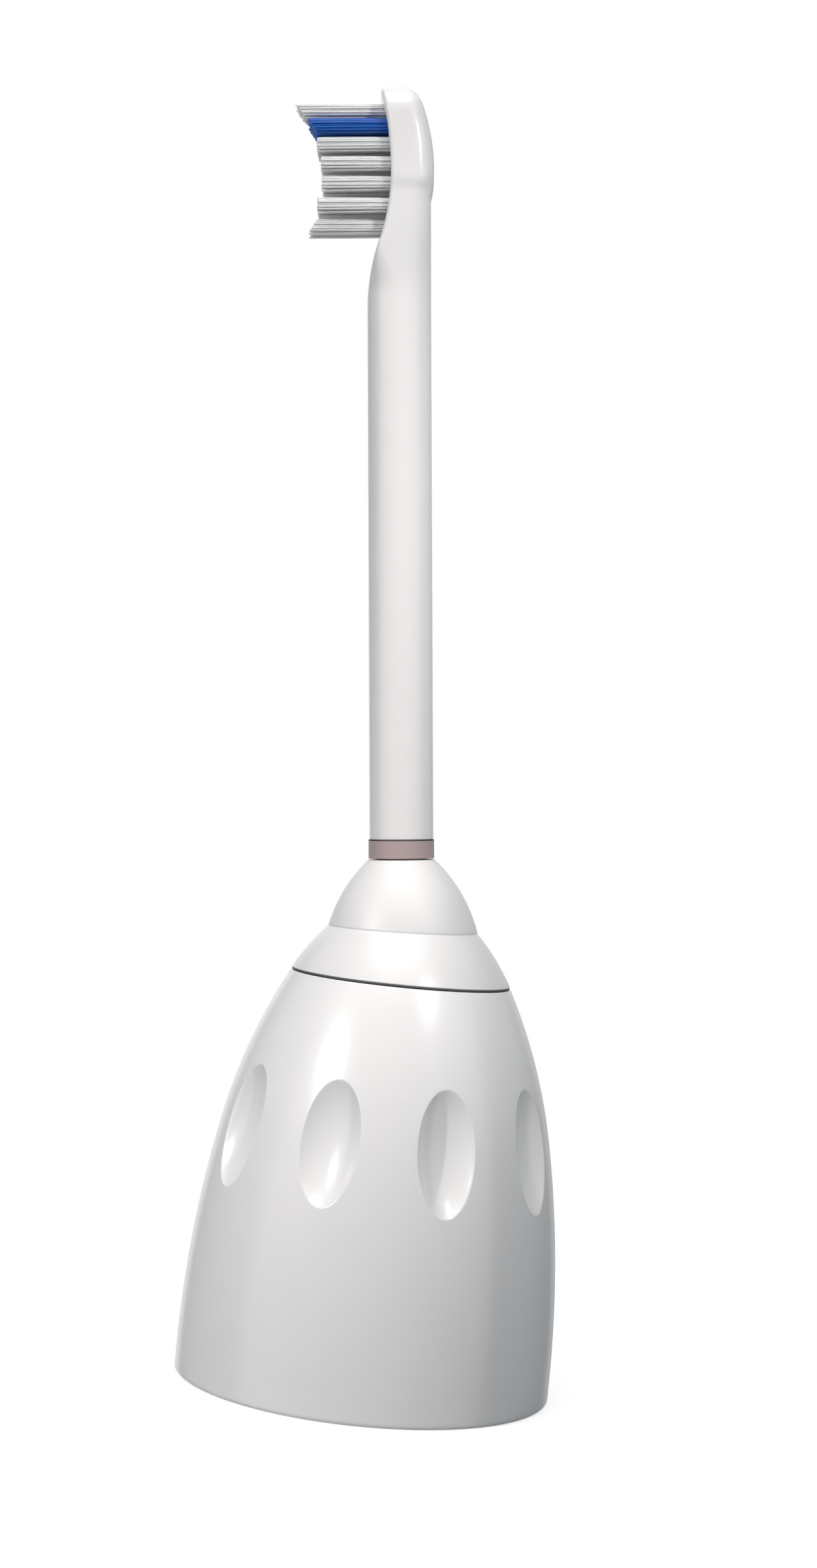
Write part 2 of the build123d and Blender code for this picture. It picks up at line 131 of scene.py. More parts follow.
class Graph:
    """A node tree that is filled by plain calls."""

    def __init__(self, tree: bpy.types.NodeTree) -> None:
        """Keeps the tree."""
        self.tree = tree

    def find(self, kind: str) -> bpy.types.Node:
        """The node of a kind that the tree starts with."""
        return next(node for node in self.tree.nodes if node.type == kind)

    def feed(self, node: bpy.types.Node, sockets: dict[Any, Any]) -> None:
        """Fills a node's inputs.

        Args:
            node: The node.
            sockets: Values or wires of its inputs, by name or index.
        """
        for name, value in sockets.items():
            if isinstance(value, Wire):
                self.tree.links.new(value.socket, node.inputs[name])
            else:
                node.inputs[name].default_value = value

    def node(
        self,
        kind: str,
        settings: dict[str, Any] | None = None,
        sockets: dict[Any, Any] | None = None,
    ) -> bpy.types.Node:
        """Adds a node.

        Args:
            kind: Type of the node.
            settings: The node's own settings, set first.
            sockets: Values or wires of its inputs, by name or index.

        Returns:
            The node.
        """
        node = self.tree.nodes.new(kind)
        for name, value in (settings or {}).items():
            setattr(node, name, value)
        self.feed(node, sockets or {})
        return node

    def wire(
        self,
        kind: str,
        settings: dict[str, Any] | None = None,
        sockets: dict[Any, Any] | None = None,
        output: str | int = 0,
    ) -> Wire:
        """Adds a node and gives one of its outputs as a wire."""
        return Wire(self, self.node(kind, settings, sockets).outputs[output])

    def math(self, operation: str, *operands: Any) -> Wire:
        """Adds a Math node on numbers or wires."""
        return self.wire("ShaderNodeMath", {"operation": operation}, dict(enumerate(operands)))

    def mix(self, share: Any, first: Any, second: Any) -> Wire:
        """Mixes two colours."""
        colours = {0: share, 6: first, 7: second}
        return self.wire("ShaderNodeMix", {"data_type": "RGBA"}, colours, 2)

    def vector(self, x: Any = 0.0, y: Any = 0.0, z: Any = 0.0) -> Wire:
        """Joins three values to a vector."""
        return self.wire("ShaderNodeCombineXYZ", None, {0: x, 1: y, 2: z})

    def parts(self, vector: Wire) -> tuple[Wire, Wire, Wire]:
        """Splits a vector into its three values."""
        node = self.node("ShaderNodeSeparateXYZ", None, {0: vector})
        return tuple(Wire(self, socket) for socket in node.outputs)

    def place(self) -> Wire:
        """The piece's own coordinates."""
        return self.wire("ShaderNodeTexCoord", None, None, "Object")

    def noise(self, scale: float, detail: float, stretch: Triple = (1, 1, 1)) -> Wire:
        """Noise from 0 to 1 on the piece's own coordinates.

        Args:
            scale: Waves in a metre.
            detail: Octaves.
            stretch: Factor on each axis.

        Returns:
            The noise value.
        """
        place = self.wire("ShaderNodeMapping", None, {"Vector": self.place(), "Scale": stretch})
        return self.wire("ShaderNodeTexNoise", None, {"Vector": place, "Scale": scale, "Detail": detail})


class GeometryGraph(Graph):
    """A geometry node tree with named inputs, which grows plain meshes."""

    SOCKETS = {
        float: "NodeSocketFloat",
        int: "NodeSocketInt",
        bpy.types.Object: "NodeSocketObject",
        bpy.types.Material: "NodeSocketMaterial",
    }

    def __init__(self, name: str, inputs: dict[str, type]) -> None:
        """Makes the tree.

        Args:
            name: Name of the tree.
            inputs: Type of each named input, apart from the material, which every tree has.
        """
        super().__init__(bpy.data.node_groups.new(name, "GeometryNodeTree"))
        kinds = {**inputs, "Material": bpy.types.Material}
        for label, kind in kinds.items():
            self.tree.interface.new_socket(label, in_out="INPUT", socket_type=self.SOCKETS[kind])
        self.tree.interface.new_socket("Geometry", in_out="OUTPUT", socket_type="NodeSocketGeometry")
        group = self.tree.nodes.new("NodeGroupInput")
        self.inputs = {label: Wire(self, group.outputs[label]) for label in kinds}

    def end(self, geometry: Wire) -> None:
        """Closes the tree: realized, smooth and in its material.

        Args:
            geometry: What the tree has made.
        """
        geometry = self.wire("GeometryNodeRealizeInstances", None, {"Geometry": geometry})
        geometry = self.wire("GeometryNodeSetShadeSmooth", None, {"Geometry": geometry})
        dressed = {"Geometry": geometry, "Material": self.inputs["Material"]}
        geometry = self.wire("GeometryNodeSetMaterial", None, dressed)
        self.node("NodeGroupOutput", None, {"Geometry": geometry})

    def grow(self, name: str, values: dict[str, Any]) -> bpy.types.Object:
        """Runs the tree and keeps its result as a plain mesh.

        Args:
            name: Name of the new piece.
            values: Value of each named input.

        Returns:
            The piece, with no modifier left.
        """
        piece = link(bpy.data.objects.new(name, bpy.data.meshes.new(name)))
        modifier = piece.modifiers.new("grow", "NODES")
        modifier.node_group = self.tree
        for item in self.tree.interface.items_tree:
            if item.item_type == "SOCKET" and item.in_out == "INPUT":
                modifier[item.identifier] = values[item.name]
        bake_modifiers(piece)
        piece.data.name = name
        tidy_mesh(piece.data)
        return piece


def link(piece: bpy.types.Object) -> bpy.types.Object:
    """Puts an object into the scene."""
    bpy.context.scene.collection.objects.link(piece)
    return piece


def bake_modifiers(piece: bpy.types.Object) -> None:
    """Turns what a piece's modifiers make into its own plain mesh.

    Args:
        piece: The piece, left with no modifier.
    """
    depsgraph = bpy.context.evaluated_depsgraph_get()
    mesh = bpy.data.meshes.new_from_object(piece.evaluated_get(depsgraph))
    piece.modifiers.clear()
    piece.data = mesh


def tidy_mesh(mesh: bpy.types.Mesh) -> None:
    """Closes seams and poles, turns faces outwards and smooths all but real edges.

    Args:
        mesh: The mesh, in metres.
    """
    shape = bmesh.new()
    shape.from_mesh(mesh)
    bmesh.ops.remove_doubles(shape, verts=shape.verts, dist=MERGE_DISTANCE)
    bmesh.ops.dissolve_degenerate(shape, dist=MERGE_DISTANCE, edges=shape.edges)
    bmesh.ops.recalc_face_normals(shape, faces=shape.faces)
    shape.to_mesh(mesh)
    shape.free()
    mesh.shade_smooth()
    mesh.set_sharp_from_angle(angle=SMOOTH_BELOW)


def node_material(name: str) -> tuple[bpy.types.Material, Graph, bpy.types.Node]:
    """Starts a material.

    Args:
        name: Name of the material.

    Returns:
        The material, its node graph and the shader in it.
    """
    material = bpy.data.materials.new(name)
    material.use_nodes = True
    graph = Graph(material.node_tree)
    return material, graph, graph.find("BSDF_PRINCIPLED")


@dataclass(frozen=True)
class Finish:
    """What every finish has: a name, a colour and a roughness."""

    name: str
    colour: Colour
    roughness: float

    @cached_property
    def material(self) -> bpy.types.Material:
        """The finished material, made once."""
        material, graph, shader = node_material(self.name)
        graph.feed(shader, self.inputs(graph))
        return material

    def inputs(self, graph: Graph) -> dict[str, Any]:
        """Values or wires of the shader's inputs."""
        raise NotImplementedError

    def shade(self, factor: float) -> tuple[float, float, float, float]:
        """The finish's colour, darker by a factor."""
        return (*(channel * factor for channel in self.colour), 1.0)


@dataclass(frozen=True)
class MouldedPlastic(Finish):
    """Moulded plastic with faint mottling, a fine skin and, where polished, a clear gloss."""

    mottle: float = 0.03
    mottle_scale: float = 160.0
    grain_scale: float = 2200.0
    grain_height: float = 0.0015
    sparkle: float = 0.05
    specular: float = 0.5

    def inputs(self, graph: Graph) -> dict[str, Any]:
        """Values or wires of the shader's inputs.

        Args:
            graph: The material's node graph.

        Returns:
            A mottled colour, a roughness that sparkles and a fine bump.
        """
        grain = graph.noise(self.grain_scale, detail=3.0)
        skin = {"Strength": 1.0, "Distance": self.grain_height * MM, "Height": grain}
        return {
            "Base Color": self.base_colour(graph),
            "Roughness": self.roughness + self.sparkle * (grain - 0.5),
            "Normal": graph.wire("ShaderNodeBump", None, skin),
            "Specular IOR Level": self.specular,
        }

    def base_colour(self, graph: Graph) -> Wire:
        """The mottled colour."""
        clouds = graph.noise(self.mottle_scale, detail=2.0)
        return graph.mix(clouds, self.shade(1 - self.mottle), self.shade(1))


@dataclass(frozen=True)
class RingPaintedShadePlastic(MouldedPlastic):
    """Moulded plastic of a ring with painted shade at its two end edges, standing in for the shadow in the
    gaps beside it.
    """

    middle: Triple = (0, 0, 0)
    axis: Triple = (0, 0, 1)
    half_band: float = 1.0
    painted_shade: float = 0.06

    def base_colour(self, graph: Graph) -> Wire:
        """The mottled colour, with painted shade near both ends.

        Args:
            graph: The material's node graph.

        Returns:
            The colour.
        """
        place = graph.parts(graph.place())
        # Painted shade: both end bands turn near black, standing in for the shadow in the gaps above and
        # below the ring.
        x, y, z = ((at - start * MM) * share for at, start, share in zip(place, self.middle, self.axis))
        in_painted_shade = graph.math("ABSOLUTE", x + y + z) > self.half_band * MM
        return graph.mix(in_painted_shade, super().base_colour(graph), self.shade(self.painted_shade))


@dataclass(frozen=True)
class Nylon(Finish):
    """Drawn nylon filament: faint streaks along its length and a soft gloss."""

    streak: float = 0.12
    streak_scale: float = 5200.0
    stretch: Triple = (0.1, 1, 1)
    sparkle: float = 0.12
    specular: float = 0.3
    subsurface: float = 0.08
    subsurface_depth: float = 0.2

    def inputs(self, graph: Graph) -> dict[str, Any]:
        """Values or wires of the shader's inputs.

        Args:
            graph: The material's node graph.

        Returns:
            A streaked colour and roughness, with a little light from inside.
        """
        streaks = graph.noise(self.streak_scale, 2.0, self.stretch)
        return {
            "Base Color": graph.mix(streaks, self.shade(1 - self.streak), self.shade(1)),
            "Roughness": self.roughness + self.sparkle * (streaks - 0.5),
            "Specular IOR Level": self.specular,
            "Subsurface Weight": self.subsurface,
            "Subsurface Scale": self.subsurface_depth * MM,
        }


@dataclass(frozen=True)
class Metal(Finish):
    """Bare or plated metal with drawn marks and faint stains."""

    stretch: Triple = (1, 1, 0.05)
    stain: float = 0.2
    stain_scale: float = 420.0
    mark_scale: float = 3800.0
    mark_height: float = 0.002
    mark_strength: float = 0.4
    sparkle: float = 0.2

    def inputs(self, graph: Graph) -> dict[str, Any]:
        """Values or wires of the shader's inputs.

        Args:
            graph: The material's node graph.

        Returns:
            A stained colour, with the marks in the roughness and the bump.
        """
        marks = graph.noise(self.mark_scale, 3.0, self.stretch)
        clouds = graph.noise(self.stain_scale, detail=3.0)
        skin = {"Strength": self.mark_strength, "Distance": self.mark_height * MM, "Height": marks}
        return {
            "Base Color": graph.mix(clouds, self.shade(1 - self.stain), self.shade(1)),
            "Roughness": self.roughness + self.sparkle * (marks - 0.5),
            "Normal": graph.wire("ShaderNodeBump", None, skin),
            "Metallic": 1.0,
        }


NUT_GLOSS = MouldedPlastic("nut_gloss", (0.84, 0.84, 0.84), 0.24, specular=0.9)
COLLAR_GLOSS = MouldedPlastic("collar_gloss", (0.77, 0.77, 0.77), 0.3, specular=0.55)
ARM_GLOSS = MouldedPlastic("arm_gloss", (0.875, 0.865, 0.86), 0.18, specular=0.7, sparkle=0.03)
BOOT_SOFT = MouldedPlastic(
    "boot_soft",
    (0.79, 0.785, 0.785),
    0.42,
    grain_scale=3600.0,
    grain_height=0.003,
    sparkle=0.08,
    specular=0.55,
)
RING_SATIN = RingPaintedShadePlastic(
    "ring_satin",
    (0.47, 0.37, 0.37),
    0.4,
    mottle=0.06,
    grain_scale=3000.0,
    grain_height=0.003,
    sparkle=0.08,
    specular=0.4,
)
CUP_SATIN = MouldedPlastic(
    "cup_satin", (0.30, 0.31, 0.31), 0.45, 0.08, grain_scale=2600.0, grain_height=0.004, sparkle=0.1
)
# The thrust washer is a real part, but its near-black colour is painted shade: it fills the seam under the
# collar so that the seam reads as a dark shadow line.
WASHER_PAINTED_SHADE = MouldedPlastic(
    "washer_painted_shade", (0.085, 0.09, 0.09), 0.5, 0.1, grain_scale=2600.0, grain_height=0.003, sparkle=0.1
)
HUB_FILLED = MouldedPlastic(
    "hub_filled", (0.52, 0.52, 0.51), 0.55, 0.15, grain_scale=1800.0, grain_height=0.008, sparkle=0.15
)
NYLON_WHITE = Nylon("nylon_white", (0.9, 0.905, 0.905), 0.32)
NYLON_BLUE = Nylon("nylon_blue", (0.022, 0.15, 0.6), 0.3, streak=0.25)
STEEL_DRAWN = Metal("steel_drawn", (0.56, 0.56, 0.58), 0.32)
STEEL_PLATED = Metal("steel_plated", (0.60, 0.61, 0.62), 0.38, stretch=(1, 0.05, 1))
NICKEL = Metal("nickel", (0.66, 0.62, 0.56), 0.24, stretch=(0.05, 1, 1), stain=0.1)
BRASS = Metal("brass", (0.72, 0.52, 0.24), 0.35)


def dress(
    piece: bpy.types.Object, finish: Finish, body: Body, nodes: Sequence[str] = ()
) -> bpy.types.Object:
    """Gives a piece its finish and ties it to the frame.

    Args:
        piece: The finished mesh.
        finish: Its finish.
        body: The body that it moves with.
        nodes: The solids that it stands for.

    Returns:
        The piece.
    """
    piece.data.materials.clear()
    piece.data.materials.append(finish.material)
    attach(piece, body.value)
    if nodes:
        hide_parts(*nodes)
    LOG.info("%s: %d faces on %s", piece.name, len(piece.data.polygons), body.value)
    return piece


class Skin:
    """Vertices and faces of one piece, gathered in millimetres."""

    def __init__(self) -> None:
        """Starts with nothing."""
        self.points: list[np.ndarray] = []
        self.faces: list[tuple[int, ...]] = []
        self.count = 0

    def add_points(self, points: np.ndarray) -> int:
        """Adds points.

        Args:
            points: Places, in any arrangement.

        Returns:
            The index of the first.
        """
        start = self.count
        self.points.append(np.asarray(points, float).reshape(-1, 3))
        self.count += len(self.points[-1])
        return start

    def add_grid(self, grid: np.ndarray, close_rows: bool = False, close_columns: bool = False) -> None:
        """Adds a grid of quads.

        Args:
            grid: Points, by row and column.
            close_rows: Whether the last row meets the first.
            close_columns: Whether the last column meets the first.
        """
        rows, columns = grid.shape[:2]
        index = self.add_points(grid) + np.arange(rows * columns).reshape(rows, columns)
        if close_rows:
            index = np.vstack([index, index[:1]])
        if close_columns:
            index = np.hstack([index, index[:, :1]])
        corners = [index[:-1, :-1], index[1:, :-1], index[1:, 1:], index[:-1, 1:]]
        quads = np.stack(corners, axis=-1).reshape(-1, 4)
        self.faces.extend(map(tuple, quads.tolist()))

    def add_fan(self, ring: np.ndarray, centre: np.ndarray) -> None:
        """Closes a ring with triangles.

        Args:
            ring: Points of the ring, in order.
            centre: The point that the triangles share.
        """
        start = self.add_points(ring)
        hub = self.add_points(centre)
        count = len(ring)
        self.faces.extend((start + i, start + (i + 1) % count, hub) for i in range(count))

    def mesh_object(self, name: str) -> bpy.types.Object:
        """Makes the object, in metres.

        Args:
            name: Name of the object.

        Returns:
            The object, in the scene.
        """
        mesh = bpy.data.meshes.new(name)
        mesh.from_pydata((np.concatenate(self.points) * MM).tolist(), [], self.faces)
        tidy_mesh(mesh)
        return link(bpy.data.objects.new(name, mesh))


def tangent_arc(
    start: Sequence[float], end: Sequence[float], tangent: Sequence[float], steps: int
) -> np.ndarray:
    """Points of the arc that leaves start along tangent and reaches end.

    Args:
        start: First point.
        end: Last point.
        tangent: Direction at the first point.
        steps: Number of equal steps.

    Returns:
        The points, first and last included.
    """
    first = np.array(start, float)
    chord = np.array(end, float) - first
    ahead = np.array(tangent, float) / math.hypot(*tangent)
    left = np.array([-ahead[1], ahead[0]])
    radius = chord @ chord / (2 * chord @ left)
    centre = first + left * radius
    begin = math.atan2(*(first - centre)[::-1])
    turn = 2 * math.atan2(chord @ left, chord @ ahead)
    angles = begin + turn * np.linspace(0, 1, steps + 1)
    return centre + abs(radius) * np.column_stack([np.cos(angles), np.sin(angles)])


@dataclass(frozen=True)
class CornerRounder:
    """Rounds the corners of an outline, with one more point beside each round to keep the flats flat.

    The shares are of the side beside a corner: the most that a round takes, and the most that the extra
    point lies away. Otherwise that point lies a number of the round's own reaches away.
    """

    steps: int = 5
    round_share: float = 0.45
    hold_share: float = 0.48
    hold_reaches: float = 1.6

    def outline(self, corners: Sequence[Triple], closed: bool) -> np.ndarray:
        """Rounds an outline.

        Args:
            corners: Place and radius of each corner; a radius of zero leaves it as it is.
            closed: Whether the last corner meets the first.

        Returns:
            The points.
        """
        places = np.array([corner[:2] for corner in corners], float)
        points = []
        for index, (x, y, radius) in enumerate(corners):
            at_end = index in (0, len(corners) - 1)
            if radius == 0 or (at_end and not closed):
                points.append([x, y])
                continue
            corner = places[index]
            back = places[index - 1] - corner
            ahead = places[(index + 1) % len(places)] - corner
            points.extend(self.corner(corner, back, ahead, radius))
        return np.array(points, float)

    def corner(
        self, corner: np.ndarray, back: np.ndarray, ahead: np.ndarray, radius: float
    ) -> list[np.ndarray]:
        """Rounds one corner.

        Args:
            corner: Its place.
            back: The way to the corner before it.
            ahead: The way to the corner after it.
            radius: Radius of the round.

        Returns:
            The points of the round and one more on each side.
        """
        back_length, ahead_length = np.linalg.norm(back), np.linalg.norm(ahead)
        back, ahead = back / back_length, ahead / ahead_length
        shorter = min(back_length, ahead_length)
        half = math.acos(np.clip(back @ ahead, -1, 1)) / 2
        reach = min(radius / math.tan(half), self.round_share * shorter)
        hold = self.hold_reaches * reach
        return [
            corner + back * min(hold, self.hold_share * back_length),
            *tangent_arc(corner + back * reach, corner + ahead * reach, -back, self.steps),
            corner + ahead * min(hold, self.hold_share * ahead_length),
        ]


def rounded(corners: Sequence[Triple], closed: bool) -> np.ndarray:
    """Rounds the corners of an outline of (place, place, radius)."""
    return CornerRounder().outline(corners, closed)


def plain(points: np.ndarray) -> list[Triple]:
    """Corners with no round."""
    return [(*point, 0.0) for point in points]


def spin(profile: np.ndarray, angles: np.ndarray) -> np.ndarray:
    """Turns a profile about Z.

    Args:
        profile: Points of (radius, height).
        angles: Angle of each copy.

    Returns:
        A grid with a row for each point and a column for each angle.
    """
    radius, height = profile[:, :1], profile[:, 1:]
    level = np.broadcast_to(height, (len(profile), len(angles)))
    return np.stack([radius * np.cos(angles), radius * np.sin(angles), level], axis=-1)


def full_turn(count: int) -> np.ndarray:
    """Angles of a closed ring."""
    return np.linspace(0, 2 * math.pi, count, endpoint=False)


def soft_max(first: np.ndarray, second: np.ndarray, width: float) -> np.ndarray:
    """The greater of two values, with a round where they cross.

    Args:
        first: One value.
        second: The other value.
        width: How far apart they are where the round ends.

    Returns:
        The greater value.
    """
    apart = first - second
    blend = second + (np.clip(apart, -width, width) + width) ** 2 / (4 * width)
    return np.where(np.abs(apart) >= width, np.maximum(first, second), blend)


def ease(value: np.ndarray) -> np.ndarray:
    """Goes smoothly from 0 to 1 as a value does."""
    share = np.clip(value, 0, 1)
    return share * share * (3 - 2 * share)


def last_inside(
    low: np.ndarray, high: np.ndarray, inside: Callable[[np.ndarray], np.ndarray]
) -> np.ndarray:
    """Finds by halving where a test stops holding.

    Args:
        low: Values at which the test holds.
        high: Values at which it doesn't.
        inside: The test.

    Returns:
        The last values at which it holds.
    """
    for _ in range(HALVINGS):
        middle = (low + high) / 2
        held = inside(middle)
        low, high = np.where(held, middle, low), np.where(held, high, middle)
    return low


@dataclass(frozen=True)
class Bell:
    """Outer form of the nut: an upright foot, then two arcs that meet at the waist."""

    base_radius: float = 15.0
    foot_height: float = 2.06
    waist_height: float = 20.59
    waist_radius: float = 13.12
    height: float = 32.41
    top_radius: float = 8.85

    @cached_property
    def waist_lean(self) -> float:
        """Slope of the wall at the waist, from upright."""
        return 2 * math.atan2(self.base_radius - self.waist_radius, self.waist_height - self.foot_height)

    @cached_property
    def lower_curve(self) -> float:
        """Radius of the lower arc."""
        chord = math.hypot(self.base_radius - self.waist_radius, self.waist_height - self.foot_height)
        return chord / (2 * math.sin(self.waist_lean / 2))

    @cached_property
    def upper_curve(self) -> float:
        """Radius of the upper arc."""
        run, rise = self.waist_radius - self.top_radius, self.height - self.waist_height
        return math.hypot(run, rise) / (2 * math.sin(math.atan2(run, rise) - self.waist_lean))

    def lean(self, height: np.ndarray) -> np.ndarray:
        """Slope of the wall.

        Args:
            height: Heights on the bell.

        Returns:
            The slope at each height, from upright.
        """
        lower = np.clip((height - self.foot_height) / self.lower_curve, 0, 1)
        upper = (height - self.waist_height) / self.upper_curve + math.sin(self.waist_lean)
        return np.arcsin(np.where(height <= self.waist_height, lower, np.clip(upper, 0, 1)))

    def radius(self, height: np.ndarray) -> np.ndarray:
        """Radius of the wall.

        Args:
            height: Heights on the bell.

        Returns:
            The radius at each height.
        """
        lean = np.cos(self.lean(height))
        lower = self.base_radius - self.lower_curve * (1 - lean)
        upper = self.waist_radius - self.upper_curve * (math.cos(self.waist_lean) - lean)
        return np.where(height <= self.waist_height, lower, upper)

    def profile(self, bottom: float, top: float, steps: int, inset: float = 0.0) -> np.ndarray:
        """Points (radius, height) of the wall between two heights, moved inwards by inset."""
        height = np.linspace(bottom, top, steps + 1)
        return np.column_stack([self.radius(height) - inset, height])


@dataclass
class GripNut:
    """Bell-shaped nut with oval dimples: one panel holds one dimple and repeats round the axis.

    The search span brackets the dimple's edge as shares of a plain oval. A crowding above one draws the
    rings of faces towards that edge.
    """

    bell: Bell
    wall: float = 2.4
    rim_round: float = 0.3
    top_round: float = 0.08
    top_margin: float = 0.6
    bore_radius: float = 12.4
    bore_depth: float = 12.0
    lead_in: float = 0.5
    lead_round: float = 0.1
    dimple_count: int = 9
    dimple_start: float = 11.3
    half_length: float = 4.87
    half_width: float = 2.35
    depth: float = 1.24
    edge_soft: float = 0.035
    search_span: tuple[float, float] = (0.6, 1.3)
    zone_half_height: float = 7.0
    columns: int = 27
    side_rows: int = 36
    inner_rings: int = 15
    outer_rings: int = 13
    inner_crowding: float = 1.4
    outer_crowding: float = 1.7
    upper_rows: int = 8
    lining_rows: int = 20
    lower_rows: int = 18
    weld: float = 0.002

    def dimple_depth(self, points: np.ndarray, outward: np.ndarray) -> np.ndarray:
        """Depth of the dimple's egg-shaped cut under points of the bell.

        Args:
            points: Points on the bell, near the dimple at angle zero.
            outward: Outward direction at each point.

        Returns:
            How far the cut lies under each point, below zero outside the dimple.
        """
        bell = self.bell
        squared = self.half_width**2
        waist = bell.waist_radius
        rise = squared + squared**2 / (2 * waist) ** 2 - self.depth**2
        lift = rise / (2 * self.depth - squared / waist)
        minor = self.depth + lift
        end_sag = self.half_length**2 * (1 / bell.lower_curve + 1 / bell.upper_curve) / 4
        major = self.half_length / math.sqrt(1 - ((lift + end_sag) / minor) ** 2)
        out = np.array([math.cos(bell.waist_lean), 0, math.sin(bell.waist_lean)])
        along = np.array([-out[2], 0, out[0]])
        scale = np.vstack([out / minor, [0, 1 / minor, 0], along / major])
        offset = (points - np.array([waist, 0, bell.waist_height]) - lift * out) @ scale.T
        step = outward @ scale.T
        squares = np.sum(step * step, axis=-1)
        middle = np.sum(offset * step, axis=-1)
        inside = middle**2 - squares * (np.sum(offset * offset, axis=-1) - 1)
        cut = (middle + np.sqrt(np.maximum(inside, 0))) / squares
        return np.where(inside > 0, cut, -self.depth)

    def on_bell(self, angle: np.ndarray, height: np.ndarray) -> tuple[np.ndarray, np.ndarray]:
        """Places on the plain bell.

        Args:
            angle: Angles about the axis.
            height: Heights.

        Returns:
            The points, and the outward direction at each.
        """
        radius, lean = self.bell.radius(height), self.bell.lean(height)
        around = np.stack([np.cos(angle), np.sin(angle), np.zeros_like(angle)], axis=-1)
        upright = np.array([0.0, 0.0, 1.0])
        points = around * radius[..., None] + upright * height[..., None]
        return points, around * np.cos(lean)[..., None] + upright * np.sin(lean)[..., None]

    def dimpled(self, angle: np.ndarray, height: np.ndarray) -> np.ndarray:
        """Places on the bell with the dimple pressed in.

        Args:
            angle: Angles about the axis, from the dimple's middle.
            height: Heights.

        Returns:
            The points.
        """
        points, outward = self.on_bell(angle, height)
        depth = soft_max(self.dimple_depth(points, outward), np.zeros(angle.shape), self.edge_soft)
        return points - outward * depth[..., None]

    def dimple_rim(self, turn: np.ndarray) -> tuple[np.ndarray, np.ndarray]:
        """Finds the dimple's edge.

        Args:
            turn: Directions round the dimple's middle.

        Returns:
            Angle and height of the edge from the middle, in each direction.
        """
        angle = self.half_width / self.bell.waist_radius * np.sin(turn)
        height = self.half_length * math.cos(self.bell.waist_lean) * np.cos(turn)

        def in_dimple(share: np.ndarray) -> np.ndarray:
            """Whether a share of the plain oval lies in the dimple."""
            place = self.on_bell(angle * share, self.bell.waist_height + height * share)
            return self.dimple_depth(*place) > 0

        share = last_inside(*(np.full(turn.shape, end) for end in self.search_span), in_dimple)
        return angle * share, height * share

    def add_dimple_zone(self, skin: Skin, half_panel: float) -> None:
        """Adds rings of faces that follow the dimple's edge out to a square of the bell.

        Args:
            skin: Where they are added.
            half_panel: Half of the panel's angle.
        """
        across = np.linspace(-half_panel, half_panel, self.columns + 1)
        down = np.linspace(self.zone_half_height, -self.zone_half_height, self.side_rows + 1)
        right, left = np.full(self.side_rows, half_panel), np.full(self.side_rows, -half_panel)
        top, bottom = np.full(self.columns, down[0]), np.full(self.columns, down[-1])
        angle = np.concatenate([across[:-1], right, across[:0:-1], left])
        height = np.concatenate([top, down[:-1], bottom, down[:0:-1]])
        turn = np.arctan2(angle * self.bell.waist_radius / self.half_width, height / self.half_length)
        rim_angle, rim_height = self.dimple_rim(turn)
        outer = (np.arange(self.outer_rings, 0, -1) / self.outer_rings) ** self.outer_crowding
        inner = (np.arange(self.inner_rings) / self.inner_rings) ** self.inner_crowding
        outer, inner = outer[:, None], 1 - inner[:, None]
        ring_angle = np.vstack([rim_angle + outer * (angle - rim_angle), rim_angle * inner])
        ring_height = np.vstack([rim_height + outer * (height - rim_height), rim_height * inner])
        middle = self.bell.waist_height
        skin.add_grid(self.dimpled(ring_angle, middle + ring_height), close_columns=True)
        centre = self.dimpled(np.zeros(1), np.full(1, middle))
        skin.add_fan(self.dimpled(ring_angle[-1], middle + ring_height[-1]), centre)

    def wall_profile(self) -> np.ndarray:
        """Section of the nut from the top of the dimple zone over the rims to the zone's bottom.

        Returns:
            Points of (radius, height).
        """
        bell = self.bell
        zone_top = bell.waist_height + self.zone_half_height
        zone_bottom = bell.waist_height - self.zone_half_height
        upper_end = bell.height - self.top_margin
        corners = plain(bell.profile(zone_top, upper_end, self.upper_rows))
        corners += [
            (bell.top_radius, bell.height, self.top_round),
            (bell.top_radius - self.wall, bell.height, self.top_round),
        ]
        corners += plain(bell.profile(upper_end, self.bore_depth, self.lining_rows, self.wall))
        corners += [
            (self.bore_radius, self.bore_depth, 0.0),
            (self.bore_radius, self.lead_in, self.lead_round),
            (self.bore_radius + self.lead_in, 0.0, self.lead_round),
            (bell.base_radius, 0.0, self.rim_round),
        ]
        corners += plain(bell.profile(bell.foot_height / 2, zone_bottom, self.lower_rows))
        return rounded(corners, closed=False)

    def panel(self) -> bpy.types.Object:
        """Makes one sector of the nut, with its sides open.

        Returns:
            The sector.
        """
        half_panel = math.pi / self.dimple_count
        skin = Skin()
        self.add_dimple_zone(skin, half_panel)
        skin.add_grid(spin(self.wall_profile(), np.linspace(-half_panel, half_panel, self.columns + 1)))
        return skin.mesh_object("nut_panel")

